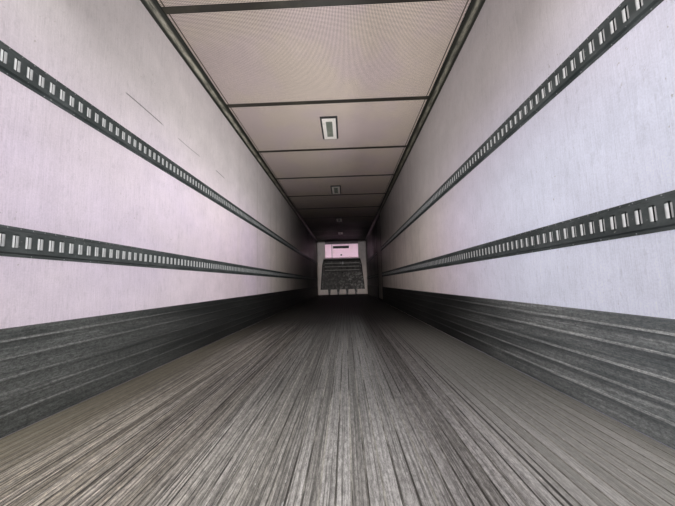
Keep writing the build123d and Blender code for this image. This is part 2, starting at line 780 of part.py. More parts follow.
def rear_door_panel():
    """A foam-cored door leaf with a bevelled free edge."""
    inner = door_inner + DOOR_SEAL / 2
    face = rear_face
    back = rear_face + DOOR_THICK
    bevel_start = face + DOOR_THICK * DOOR_BEVEL_SHARE
    outline = [
        (door_outer, face), (door_outer, back), (inner + DOOR_BEVEL, back), (inner, bevel_start), (inner, face),
    ]
    return along_z(outline, door_low, door_high)


def rear_door_seal():
    """The rubber seal around a door leaf's outer edge."""
    front = rear_face + SEAL_INSET
    back = front + SEAL_DEPTH
    inner = door_inner + DOOR_SEAL / 2
    seal = DOOR_SEAL
    outside = block((door_inner, front, door_low - seal), (door_outer + seal, back, door_high + seal))
    return outside - block((inner, front - CUT, door_low), (door_outer, back + CUT, door_high))


def rod_guide(x, face, radius, standoff, z):
    """A hat-shaped guide that holds a lock rod to a door face that looks to -Y."""
    bore = radius + ROD_PLAY
    crown = face - standoff - bore
    sheet = GUIDE_SHEET
    foot = bore + sheet + GUIDE_FOOT
    side = bore + sheet
    outline = [
        (x - foot, face), (x - foot, face - sheet), (x - side, face - sheet), (x - side, crown - sheet),
        (x + side, crown - sheet), (x + side, face - sheet), (x + foot, face - sheet), (x + foot, face),
        (x + bore, face), (x + bore, crown), (x - bore, crown), (x - bore, face),
    ]
    return along_z(outline, z - GUIDE_HEIGHT / 2, z + GUIDE_HEIGHT / 2)


def lock_rod(x, face, radius, standoff, low, high, handle_z, reach):
    """A lock rod with a cam at each end and its handle, whose reach is signed along X."""
    y = face - standoff
    rod = post(x, y, radius, low + CAM_HEIGHT / 2, high - CAM_HEIGHT / 2)
    cam = CAM_WIDTH / 2
    for z in (low, high - CAM_HEIGHT):
        rod += block((x - cam, y - radius, z), (x + cam, face - CAM_OFF_FACE, z + CAM_HEIGHT))
    hub = radius + HUB_WALL
    rod += block((x - hub, y - hub, handle_z - HUB_HEIGHT / 2), (x + hub, y + hub, handle_z + HUB_HEIGHT / 2))
    near, far = sorted((x, x + reach))
    bar_low = (near, y - HANDLE_THICK / 2, handle_z - HANDLE_BAR_HEIGHT / 2)
    return rod + block(bar_low, (far, y + HANDLE_THICK / 2, handle_z + HANDLE_BAR_HEIGHT / 2))


def handle_catch(x, face, standoff, handle_z):
    """The hooked catch that a closed handle rests in."""
    under = handle_z - HANDLE_BAR_HEIGHT / 2
    front = face - standoff - HANDLE_THICK / 2 - CATCH_PLAY - CATCH_SHEET
    outline = [
        (face, under - CATCH_SHEET), (front, under - CATCH_SHEET), (front, handle_z),
        (front + CATCH_SHEET, handle_z), (front + CATCH_SHEET, under), (face, under),
    ]
    return along_x(outline, x - CATCH_WIDTH / 2, x + CATCH_WIDTH / 2)


def rear_door_hardware():
    """Hinge leaves, lock rods, guides and handle catches of the right rear door."""
    edge = pin_x - door_outer
    pieces = [
        hinge_leaf(rear_pin, rear_ways, z, rear_sizes, PIN_BEHIND, edge, LEAF_PAD, LEAF_PLATE)
        for z in rear_hinge_heights
    ]
    low = door_low - ROD_OVERRUN
    high = door_high + ROD_OVERRUN
    for index, x in enumerate(rod_places):
        handle_z = floor_top + HANDLE_HEIGHT + index * HANDLE_STEP
        reach = HANDLE_LENGTH if index == 0 else -HANDLE_LENGTH
        pieces.append(lock_rod(x, rear_face, ROD_RADIUS, ROD_STANDOFF, low, high, handle_z, reach))
        pieces.append(handle_catch(x + reach * CATCH_SHARE, rear_face, ROD_STANDOFF, handle_z))
        for z in steps(door_low + GUIDE_END, door_high - GUIDE_END, ROD_GUIDES):
            pieces.append(rod_guide(x, rear_face, ROD_RADIUS, ROD_STANDOFF, z))
    return pieces


def opened(shape):
    """A closed right rear door piece, turned open about its pins."""
    return Pos(pin_x, pin_y, 0) * Rot(0, 0, DOOR_OPEN) * Pos(-pin_x, -pin_y, 0) * shape


# Side door

side_face = wall_skin + SIDE_FLANGE_PROUD
side_pin_x = side_face + SIDE_PIN_OUT
side_pin_y = side_front + SIDE_PIN_ASIDE
side_panel_front = side_front - SIDE_DOOR_GAP - SIDE_DOOR_SEAL
side_panel_rear = side_rear + SIDE_DOOR_GAP + SIDE_DOOR_SEAL
side_panel_low = floor_top + SIDE_DOOR_GAP + SIDE_DOOR_SEAL
side_panel_high = side_top - SIDE_DOOR_GAP - SIDE_DOOR_SEAL
side_hinge_heights = hinge_heights(side_panel_low, side_panel_high, SIDE_HINGES, DOOR_HINGE_END)
side_pin = (side_pin_x, side_pin_y)
side_ways = ((0, -1), (-1, 0))
side_sizes = (SIDE_KNUCKLE_RADIUS, SIDE_PIN_RADIUS, KNUCKLE_HEIGHT)


def side_door_frame():
    """The frame in the right wall around the side door, with the lugs and pins of its hinges."""
    low = (half_inside, side_rear - SIDE_FRAME, CROSSMEMBER_DEPTH)
    frame = block(low, (wall_skin, side_front + SIDE_FRAME, ceiling))
    flange_low = (wall_skin, side_rear - SIDE_FLANGE, bottom_rail_top)
    frame += block(flange_low, (side_face, side_front + SIDE_FRAME, side_top + SIDE_FLANGE))
    frame -= block((half_inside - CUT, side_rear, floor_top), (side_face + CUT, side_front, side_top))
    foot = (-SIDE_KNUCKLE_RADIUS, SIDE_KNUCKLE_RADIUS)
    for z in side_hinge_heights:
        frame += hinge_lugs(side_pin, side_ways, z, side_sizes, SIDE_PIN_OUT, foot)
    return frame


def side_door_panel():
    """The side door's foam-cored leaf, slightly narrower inside."""
    inner = half_inside + SIDE_DOOR_RECESS
    bevel = SIDE_DOOR_BEVEL
    bevel_start = inner + SIDE_DOOR_BEVEL_DEPTH
    outline = [
        (side_face, side_panel_front), (side_face, side_panel_rear), (bevel_start, side_panel_rear),
        (inner, side_panel_rear + bevel), (inner, side_panel_front - bevel), (bevel_start, side_panel_front),
    ]
    return along_z(outline, side_panel_low, side_panel_high)


def side_door_seal():
    """The rubber seal around the side door's outer edge."""
    front = side_face - SEAL_INSET
    back = front - SEAL_DEPTH
    seal = SIDE_DOOR_SEAL
    low = (back, side_panel_rear - seal, side_panel_low - seal)
    high = (front, side_panel_front + seal, side_panel_high + seal)
    door = block((back - CUT, side_panel_rear, side_panel_low), (front + CUT, side_panel_front, side_panel_high))
    return block(low, high) - door


def turned_to_side(shape):
    """A piece drawn on a door face that looks to -Y, laid on the side door's face that looks to +X."""
    return Rot(0, 0, 90) * shape


def side_door_hardware():
    """Hinge leaves, lock rod, guides and handle catch of the side door."""
    edge = side_pin_y - side_panel_front
    pieces = [
        hinge_leaf(side_pin, side_ways, z, side_sizes, SIDE_PIN_OUT, edge, SIDE_LEAF_PAD, SIDE_LEAF_PLATE)
        for z in side_hinge_heights
    ]
    x = side_panel_front - SIDE_ROD_INSET
    face = -side_face
    handle_z = floor_top + SIDE_HANDLE_HEIGHT
    low = side_panel_low + SIDE_ROD_END
    high = side_panel_high - SIDE_ROD_END
    reach = SIDE_HANDLE_LENGTH
    latch = [
        lock_rod(x, face, SIDE_ROD_RADIUS, SIDE_ROD_STANDOFF, low, high, handle_z, reach),
        handle_catch(x + reach * CATCH_SHARE, face, SIDE_ROD_STANDOFF, handle_z),
    ]
    for z in steps(low + GUIDE_END, high - GUIDE_END, SIDE_GUIDES):
        latch.append(rod_guide(x, face, SIDE_ROD_RADIUS, SIDE_ROD_STANDOFF, z))
    return pieces + [turned_to_side(piece) for piece in latch]


# Refrigeration unit

unit_front = front_face + UNIT_DEPTH
window_half = UNIT_HALF_WIDTH - UNIT_WINDOW_INSET
lower_window = (UNIT_LOW + UNIT_WINDOW_INSET, UNIT_DIVIDER_HEIGHT - UNIT_DIVIDER / 2)
upper_window = (UNIT_DIVIDER_HEIGHT + UNIT_DIVIDER / 2, UNIT_HIGH - UNIT_BROW)
lower_bay = (lower_window[0] - UNIT_BAY_DROP, lower_window[1])
upper_bay = (upper_window[0], upper_window[1] + UNIT_BAY_DROP)
unit_hinge_middle = (lower_window[0] + lower_window[1]) / 2
unit_knuckle_height = lower_window[1] - lower_window[0] - 2 * UNIT_HINGE_END
unit_pin = (window_half + UNIT_PIN_ASIDE, unit_front + UNIT_PIN_OUT)
unit_ways = ((-1, 0), (0, -1))
unit_sizes = (UNIT_KNUCKLE_RADIUS, UNIT_PIN_RADIUS, unit_knuckle_height)


def unit_housing():
    """The unit's moulded housing: rounded in plan and over its brow, hollow behind two windows."""
    half = UNIT_HALF_WIDTH
    corners = [(-half, front_face), (half, front_face), (half, unit_front), (-half, unit_front)]
    plan = make_face(Polyline(*corners, close=True))
    plan = fillet(plan.vertices().group_by(Axis.Y)[-1], UNIT_CORNER)
    body = extrude(Pos(0, 0, UNIT_LOW) * plan, UNIT_HIGH - UNIT_LOW, dir=(0, 0, 1))
    side = [
        (front_face, UNIT_LOW), (unit_front - UNIT_CORNER, UNIT_LOW), (unit_front, UNIT_LOW + UNIT_CORNER),
        (unit_front, UNIT_HIGH - UNIT_BROW), (unit_front - UNIT_BROW, UNIT_HIGH), (front_face, UNIT_HIGH),
    ]
    body = body & along_x(side, -half, half)
    shell = UNIT_SHELL
    bay_half = half - UNIT_SIDE_SHELLS * shell
    bay_front = unit_front - UNIT_FRONT_SHELLS * shell
    for window, bay in ((lower_window, lower_bay), (upper_window, upper_bay)):
        body -= block((-bay_half, front_face + shell, bay[0]), (bay_half, bay_front, bay[1]))
        body -= block((-window_half, bay_front - CUT, window[0]), (window_half, unit_front + CUT, window[1]))
    foot = (-UNIT_KNUCKLE_RADIUS, UNIT_KNUCKLE_RADIUS)
    lugs = hinge_lugs(unit_pin, unit_ways, unit_hinge_middle, unit_sizes, UNIT_PIN_OUT + UNIT_LUG_SINK, foot)
    return body + lugs + flipped(lugs)


def unit_grille():
    """The condenser grille: a rim with tilted louvres across it."""
    low, high = upper_window
    front = unit_front - GRILLE_RECESS
    back = front - GRILLE_DEPTH
    half = window_half
    rim = GRILLE_RIM
    grille = block((-half, back, low), (half, front, high))
    grille -= block((-half + rim, back - CUT, low + rim), (half - rim, front + CUT, high - rim))
    grille += block((-rim / 2, back, low), (rim / 2, front, high))
    inset = LOUVRE_INSET
    thick = LOUVRE_THICK
    rise = (GRILLE_DEPTH - 2 * inset) * sin(radians(LOUVRE_TILT))
    for z in steps(low + rim + LOUVRE_END + rise, high - rim - LOUVRE_END, GRILLE_LOUVRES):
        low_edge = z - rise
        louvre = [
            (back + inset, z), (front - inset, low_edge),
            (front - inset, low_edge + thick), (back + inset, z + thick),
        ]
        grille += along_x(louvre, -half + rim, half - rim)
    return grille


def unit_engine():
    """The engine and compressor as one plain block on its mounts."""
    width, depth, height = ENGINE_SIZE
    base = lower_bay[0]
    y = front_face + ENGINE_BACK
    engine = block((-width / 2, y, base + ENGINE_MOUNT), (width / 2, y + depth, base + ENGINE_MOUNT + height))
    half = ENGINE_MOUNT_HALF
    inset = ENGINE_MOUNT_INSET
    for x in (-width / 3, width / 3):
        engine += block((x - half, y + inset, base), (x + half, y + depth - inset, base + ENGINE_MOUNT))
    return engine


def unit_door():
    """The right service door with its pressed field and the long knuckle of its hinge."""
    gap = UNIT_DOOR_GAP
    low, high = lower_window[0] + gap, lower_window[1] - gap
    outer = window_half - gap
    face = unit_front
    margin = UNIT_FIELD_MARGIN
    door = block((gap, face - UNIT_DOOR_THICK, low), (outer, face, high))
    door = chamfer(door.faces().sort_by(Axis.Y)[-1].edges(), UNIT_DOOR_CHAMFER)
    field_low = (gap + margin, face - UNIT_FIELD_DEPTH, low + margin)
    field = block(field_low, (outer - margin, face + CUT, high - margin))
    door -= chamfer(field.faces().sort_by(Axis.Y)[0].edges(), UNIT_FIELD_DEPTH * 0.9)
    edge = unit_pin[0] - outer
    leaf = hinge_leaf(
        unit_pin, unit_ways, unit_hinge_middle, unit_sizes, UNIT_PIN_OUT, edge, UNIT_LEAF_PAD, UNIT_LEAF_PLATE
    )
    return door + leaf


def main():
    """Write every piece of the body."""
    os.makedirs("parts", exist_ok=True)
    frame_rear = side_rear - SIDE_FRAME
    frame_front = side_front + SIDE_FRAME
    save("crossmembers", crossmembers())
    save("coupler_plate", coupler_plate())
    subfloor = block((-half_inside, rear_inner, CROSSMEMBER_DEPTH), (half_inside, front_inner, subfloor_top))
    save("subfloor_panel", subfloor)
    save("t_floor", t_floor())
    save("bottom_rails", [bottom_rail(), flipped(bottom_rail())])
    save("wall_left", flipped(wall(rear_inner, front_inner)))
    save("wall_right_rear", wall(rear_inner, frame_rear))
    save("wall_right_front", wall(frame_front, front_inner))
    stretches = ((rear_inner, frame_rear), (frame_front, front_inner))
    liners = [scuff_liner(rear, front) for rear, front in stretches]
    save("scuff_liners", liners + [flipped(scuff_liner(rear_inner, front_inner))])
    rails = [rail for rear, front in stretches for rail in cargo_rails(rear, front)]
    save("cargo_rails", rails + [flipped(rail) for rail in cargo_rails(rear_inner, front_inner)])
    save("coves", [cove(), flipped(cove())])
    save("roof_panel", roof_panel())
    save("ceiling_joints", ceiling_joints())
    save("lamp_housings", [lamp_housing(distance) for distance in LAMP_DISTANCES])
    save("lamp_lenses", [lamp_lens(distance) for distance in LAMP_DISTANCES])
    save("top_rails", [top_rail(), flipped(top_rail())])
    save("front_wall", front_wall())
    save("evaporator_cover", evaporator_cover())
    save("air_bulkhead", air_bulkhead())
    save("unit_housing", unit_housing())
    save("unit_grille", unit_grille())
    save("unit_engine", unit_engine())
    save("rear_posts", [rear_post(), flipped(rear_post())])
    save("rear_header", rear_header())
    save("rear_sill", rear_sill())
    save("dock_bumpers", dock_bumpers())
    save("rear_lamps", rear_lamps())
    save("side_door_frame", side_door_frame())
    door_pieces = (
        ("panel", [rear_door_panel()]),
        ("seal", [rear_door_seal()]),
        ("hardware", rear_door_hardware()),
    )
    for name, pieces in door_pieces:
        right = [opened(piece) for piece in pieces]
        save(f"rear_door_right_{name}", right)
        save(f"rear_door_left_{name}", [flipped(piece) for piece in right])
    save("side_door_panel", side_door_panel())
    save("side_door_seal", side_door_seal())
    save("side_door_hardware", side_door_hardware())
    save("unit_door_right", unit_door())
    save("unit_door_left", flipped(unit_door()))


if __name__ == "__main__":
    main()
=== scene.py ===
"""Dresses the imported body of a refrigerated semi-trailer: finishes, slotted rails, rivets, lamps, fittings.

Every length is in metres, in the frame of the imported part: +Y points to the front wall, and +X to the
side with the side door.
"""

import logging
import math
from dataclasses import dataclass
from enum import Enum
from typing import Any, Callable, Sequence

import bpy
import numpy as np
from mathutils import Matrix, Vector


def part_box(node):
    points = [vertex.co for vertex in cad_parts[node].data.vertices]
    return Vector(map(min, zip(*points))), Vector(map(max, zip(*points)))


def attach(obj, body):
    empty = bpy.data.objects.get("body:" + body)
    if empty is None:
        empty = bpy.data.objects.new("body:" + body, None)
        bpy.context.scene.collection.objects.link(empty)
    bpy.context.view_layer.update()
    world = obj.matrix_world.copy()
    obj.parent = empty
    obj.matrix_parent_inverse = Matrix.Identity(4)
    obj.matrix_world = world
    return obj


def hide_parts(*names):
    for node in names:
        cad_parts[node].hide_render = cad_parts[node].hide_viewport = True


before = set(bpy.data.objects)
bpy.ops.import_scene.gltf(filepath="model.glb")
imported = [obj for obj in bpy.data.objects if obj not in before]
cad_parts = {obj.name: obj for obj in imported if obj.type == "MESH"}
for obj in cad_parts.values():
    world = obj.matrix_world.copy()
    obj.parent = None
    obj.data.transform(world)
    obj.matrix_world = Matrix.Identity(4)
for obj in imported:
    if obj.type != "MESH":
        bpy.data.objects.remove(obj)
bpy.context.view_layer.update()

log = logging.getLogger("trailer_body")

BOX = "box_body"
RIGHT_DOOR = "rear_door_right"
LEFT_DOOR = "rear_door_left"
SIDE_DOOR = "side_door"

HALF_INSIDE = 1.2445
FLOOR_TOP = 0.202
CEILING_HEIGHT = 2.892
REAR_INNER = -7.967
FRONT_INNER = 7.975
SHEET_PITCH = 1.219
RIB_PITCH = 0.045
CEILING_LAMPS = (5.59, 2.975, -0.235, -2.905)
LAMP_HALF = (0.1, 0.28)

Rgb = tuple[float, float, float]
Span = tuple[float, float]
Point = tuple[float, float, float]
Line = tuple[Point, Point, float]


def node_box(name: str) -> tuple[Vector, Vector]:
    """Lowest and highest corners of a CAD node at rest."""
    low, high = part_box(name)
    return Vector(low), Vector(high)


class Side(Enum):
    """The two long walls, with the sign of their X."""

    LEFT = -1
    RIGHT = 1

    @property
    def tag(self) -> str:
        """The side's name in the names of pieces."""
        return self.name.lower()


# Shader maths


class Expr:
    """A value or colour that varies over a surface: one output socket, used in Python expressions."""

    def __init__(self, graph: "Graph", socket: bpy.types.NodeSocket) -> None:
        """Wraps a socket of a node in a graph."""
        self.graph = graph
        self.socket = socket

    def _math(self, operation: str, *values: Any) -> "Expr":
        """One Math node's result, from its operation and its inputs in order."""
        return self.graph.node("ShaderNodeMath", {"operation": operation}, dict(enumerate(values)))

    def __add__(self, other: Any) -> "Expr":
        """Sum."""
        return self._math("ADD", self, other)

    __radd__ = __add__

    def __sub__(self, other: Any) -> "Expr":
        """Difference."""
        return self._math("SUBTRACT", self, other)

    def __rsub__(self, other: Any) -> "Expr":
        """Difference from another value."""
        return self._math("SUBTRACT", other, self)

    def __mul__(self, other: Any) -> "Expr":
        """Product."""
        return self._math("MULTIPLY", self, other)

    __rmul__ = __mul__

    def __truediv__(self, other: Any) -> "Expr":
        """Quotient."""
        return self._math("DIVIDE", self, other)

    def __abs__(self) -> "Expr":
        """Size without sign."""
        return self._math("ABSOLUTE", self)

    def above(self, edge: Any) -> "Expr":
        """One where this is above an edge, else zero."""
        return self._math("GREATER_THAN", self, edge)

    def below(self, edge: Any) -> "Expr":
        """One where this is below an edge, else zero."""
        return self._math("LESS_THAN", self, edge)

    def least(self, other: Any) -> "Expr":
        """The smaller of this and another."""
        return self._math("MINIMUM", self, other)

    def floor(self) -> "Expr":
        """The whole number below."""
        return self._math("FLOOR", self)

    def sin(self) -> "Expr":
        """Sine of this in radians."""
        return self._math("SINE", self)

    def step(self, start: float, end: float) -> "Expr":
        """A smooth step.

        Args:
            start: Where the result is zero.
            end: Where the result is one.

        Returns:
            The step, held to zero and one outside.
        """
        flip = start > end
        low, high = (end, start) if flip else (start, end)
        inputs = {"Value": self, "From Min": low, "From Max": high}
        if flip:
            inputs |= {"To Min": 1.0, "To Max": 0.0}
        return self.graph.node("ShaderNodeMapRange", {"interpolation_type": "SMOOTHSTEP"}, inputs)


class Graph:
    """The nodes of one material, added through one method."""

    def __init__(self, name: str) -> None:
        """Starts an empty material with its shader.

        Args:
            name: The material's name.
        """
        self.material = bpy.data.materials.new(name)
        self.material.use_nodes = True
        self.nodes = self.material.node_tree.nodes
        self.links = self.material.node_tree.links
        self.shader = next(n for n in self.nodes if n.bl_idname == "ShaderNodeBsdfPrincipled")
        self._object: Expr | None = None

    def node(self, kind: str, settings: dict[str, Any], inputs: dict[Any, Any], output: Any = 0) -> Expr:
        """Adds a node.

        Args:
            kind: The node's type name.
            settings: Attributes that are set before its inputs.
            inputs: Values or expressions by the input's name or number.
            output: Name or number of the output to use.

        Returns:
            That output as an expression.
        """
        made = self.nodes.new(kind)
        for key, value in settings.items():
            setattr(made, key, value)
        for key, value in inputs.items():
            self.feed(made.inputs[key], value)
        return Expr(self, made.outputs[output])

    def feed(self, socket: bpy.types.NodeSocket, value: Any) -> None:
        """Links an expression to a socket, or writes a constant on it.

        Args:
            socket: The input.
            value: An expression, a number, a colour or a vector.
        """
        if isinstance(value, Expr):
            self.links.new(value.socket, socket)
        elif isinstance(value, (tuple, list)) and socket.type == "RGBA":
            socket.default_value = (*value[:3], 1.0)
        else:
            socket.default_value = value

    @property
    def place(self) -> Expr:
        """The point of the surface in the part's frame."""
        if self._object is None:
            self._object = self.node("ShaderNodeTexCoord", {}, {}, "Object")
        return self._object

    def axis(self, letter: str) -> Expr:
        """One coordinate of the point: X, Y or Z."""
        return self.node("ShaderNodeSeparateXYZ", {}, {0: self.place}, letter)

    def stretched(self, scale: float | Sequence[float]) -> Expr:
        """The point with each coordinate times its scale, or all times one."""
        factors = (scale,) * 3 if isinstance(scale, float) else tuple(scale)
        return self.node("ShaderNodeMapping", {}, {"Vector": self.place, "Scale": factors})

    def noise(self, scale: float | Sequence[float], detail: float = 3.0, rough: float = 0.55) -> Expr:
        """Cloudy noise about one half, from its cycles in a metre, octaves and share of the finer ones."""
        inputs = {"Vector": self.stretched(scale), "Scale": 1.0, "Detail": detail, "Roughness": rough}
        return self.node("ShaderNodeTexNoise", {}, inputs)

    def random(self, value: Expr) -> Expr:
        """A random number for each whole value."""
        return self.node("ShaderNodeTexWhiteNoise", {"noise_dimensions": "1D"}, {"W": value})

    def cells(self, scale: float, output: str = "Distance") -> Expr:
        """Cells round scattered points: Distance to the nearest one, or a random Color for each."""
        inputs = {"Vector": self.stretched(scale), "Scale": 1.0}
        return self.node("ShaderNodeTexVoronoi", {}, inputs, output)

    def mix(self, first: Any, second: Any, share: Any) -> Expr:
        """Blends two colours by a share of the second, with the Mix node's colour sockets."""
        return self.node("ShaderNodeMix", {"data_type": "RGBA"}, {0: share, 6: first, 7: second}, 2)

    def shade(self, colour: Any, amount: Any) -> Expr:
        """Multiplies a colour by a value."""
        return self.node("ShaderNodeVectorMath", {"operation": "SCALE"}, {0: colour, "Scale": amount})

    def bump(self, height: Expr, distance: float, strength: float, under: Expr | None = None) -> Expr:
        """A bumped normal.

        Args:
            height: Height over the surface, from zero to one.
            distance: The height of one, in metres.
            strength: How much of the bump shows.
            under: A normal that is already bumped.

        Returns:
            The normal.
        """
        inputs: dict[str, Any] = {"Height": height, "Distance": distance, "Strength": strength}
        if under is not None:
            inputs["Normal"] = under
        return self.node("ShaderNodeBump", {}, inputs)

    def finish(self, **sockets: Any) -> None:
        """Feeds the shader's sockets, named with _ for a space."""
        for key, value in sockets.items():
            self.feed(self.shader.inputs[key.replace("_", " ")], value)


# Finishes


@dataclass(frozen=True)
class Finish:
    """A finish of one kind of surface."""

    name: str

    def paint(self, g: Graph) -> None:
        """Adds the finish's nodes to a graph."""
        raise NotImplementedError

    def material(self) -> bpy.types.Material:
        """The finish as a material, made once.

        Returns:
            The material.
        """
        known = bpy.data.materials.get(self.name)
        if known:
            return known
        graph = Graph(self.name)
        self.paint(graph)
        return graph.material


@dataclass(frozen=True)
class LinerAndSkin(Finish):
    """White wall panels: a pinkish liner with scuffs inside, clean white sheet with road dirt outside."""

    liner: Rgb = (0.81, 0.69, 0.755)
    liner_lilac: Rgb = (0.74, 0.62, 0.77)
    liner_cool: Rgb = (0.71, 0.745, 0.87)
    # colour of the painted shade on the wall's upper part
    liner_high: Rgb = (0.56, 0.53, 0.52)
    # a warm tint, also a slight painted shade deeper in the body
    liner_warm: Rgb = (0.74, 0.67, 0.61)
    # colour of the painted shade towards the front wall
    liner_front: Rgb = (0.055, 0.055, 0.053)
    skin: Rgb = (0.74, 0.75, 0.76)
    dirt: Rgb = (0.30, 0.26, 0.22)
    scratch: Rgb = (0.17, 0.16, 0.16)
    inside_half: float = 1.27
    rub_height: float = 2.058
    rub_edge: Span = (0.0062, 0.0028)
    rubs: tuple[Point, ...] = ((-4.97, -4.54, 0.95), (-4.37, -3.95, 0.55), (-3.63, -3.36, 0.8))
    front_wall: float = 7.95
    # share of the painted shade at the front; the ceiling and the corner trim darken by it too
    front_dirt: float = 0.97
    outer_front: float = 8.03
    everywhere_skin: bool = False

    def tinted(self, g: Graph, patches: Expr) -> Expr:
        """Tints: lilac patches, cool in the rear, and painted shade, warm to the front and grey up high.

        Args:
            g: The material's graph.
            patches: Where the lilac shows.

        Returns:
            The liner's clean colour.
        """
        right, y, z = g.axis("X").above(0.0), g.axis("Y"), g.axis("Z")
        # painted shade: warmer and a little darker deeper in the body
        warm = (y + 1.9 * right).step(-2.6, -0.3)
        cool = y.step(-3.0, -5.2) * (0.2 + 0.75 * right) * z.step(2.3, 1.3)
        # painted shade: the wall greyer and darker towards the ceiling
        high = z.step(1.25, 2.35) * 0.9
        colour = g.mix(self.liner, self.liner_lilac, patches * 0.7)
        colour = g.mix(g.mix(colour, self.liner_warm, warm), self.liner_high, high)
        return g.mix(colour, self.liner_cool, cool)

    def marked(self, g: Graph, liner: Expr) -> Expr:
        """Adds run-off, specks and the left wall's rubs, then painted shade by depth, wall and height.

        Args:
            g: The material's graph.
            liner: The colour so far.

        Returns:
            The liner's worn colour.
        """
        right, y, z = g.axis("X").above(0.0), g.axis("Y"), g.axis("Z")
        runs = g.noise((1.0, 7.0, 0.3), 4.0, 0.65).step(0.50, 0.70) * y.step(-4.2, -1.5)
        liner = g.mix(liner, self.dirt, runs * 0.28)
        wander = g.noise((1.0, 1.6, 0.0), 1.0) * 0.03 - 0.015
        rub = sum(share * y.step(start, start + 0.03) * y.step(end, end - 0.06)
                  for start, end, share in self.rubs)
        rub = rub * (1 - right) * abs(z - self.rub_height + wander).step(*self.rub_edge)
        specks = g.noise(55.0, 2.0).step(0.69, 0.75) * g.noise(3.0, 2.0).step(0.48, 0.62)
        liner = g.mix(liner, self.scratch, rub)
        liner = g.mix(liner, self.dirt, specks * 0.5)
        # painted shade: the side walls darken to near black towards the front wall
        dim = y.step(-0.5, 4.5) * y.below(self.front_wall)
        liner = g.mix(liner, self.liner_front, dim * self.front_dirt)
        # painted light and shade: the right wall lighter, its upper part darker past the first metre; the
        # left wall's upper part lighter further in
        upper = z.step(1.0, 1.9)
        liner = g.shade(liner, 1 + right * (0.12 - 0.34 * upper * y.step(-6.0, -5.1)))
        return g.shade(liner, 1 + (1 - right) * (0.26 * y.step(-5.4, -4.3) - 0.06) * upper)

    def weathered(self, g: Graph) -> Expr:
        """The outer sheet, with run-off streaks and road splash below.

        Args:
            g: The material's graph.

        Returns:
            Its colour.
        """
        run_off = g.noise((3.0, 16.0, 0.5), 4.0, 0.6).step(0.52, 0.78)
        splash = g.axis("Z").step(1.1, 0.15) * g.noise((2.0, 2.4, 4.0), 4.0).step(0.35, 0.75)
        skin = g.shade(self.skin, 0.95 + 0.09 * g.noise(1.2, 4.0))
        return g.mix(skin, self.dirt, run_off * 0.16 + splash * 0.30)

    def paint(self, g: Graph) -> None:
        """Liner inside and sheet outside, with upright fibres, grain and shallow dents.

        Args:
            g: The material's graph.
        """
        patches = g.noise((0.5, 0.55, 0.7), 4.0, 0.6).step(0.36, 0.66)
        clouds = g.noise((5.0, 4.0, 5.0), 4.0, 0.65)
        fibres = g.noise((30.0, 230.0, 7.0), 3.0, 0.65)
        grain = g.noise(130.0, 2.0, 0.7)
        flecks = g.noise((26.0, 40.0, 14.0), 3.0, 0.75).step(0.56, 0.66)
        colour = self.weathered(g)
        if not self.everywhere_skin:
            liner = g.shade(self.tinted(g, patches), 0.50 + 0.34 * clouds + 0.36 * fibres + 0.30 * grain)
            liner = g.shade(liner, 1 - 0.08 * flecks)
            outside = abs(g.axis("X")).above(self.inside_half) + g.axis("Y").above(self.outer_front)
            colour = g.mix(self.marked(g, liner), colour, outside)
        dents = g.noise((1.6, 2.2, 2.2), 1.0)
        normal = g.bump(dents, 0.006, 0.5, g.bump(grain + fibres, 0.0008, 0.5))
        g.finish(Base_Color=colour, Roughness=0.38 + 0.16 * patches + 0.1 * grain,
                 Specular_IOR_Level=0.3, Normal=normal)


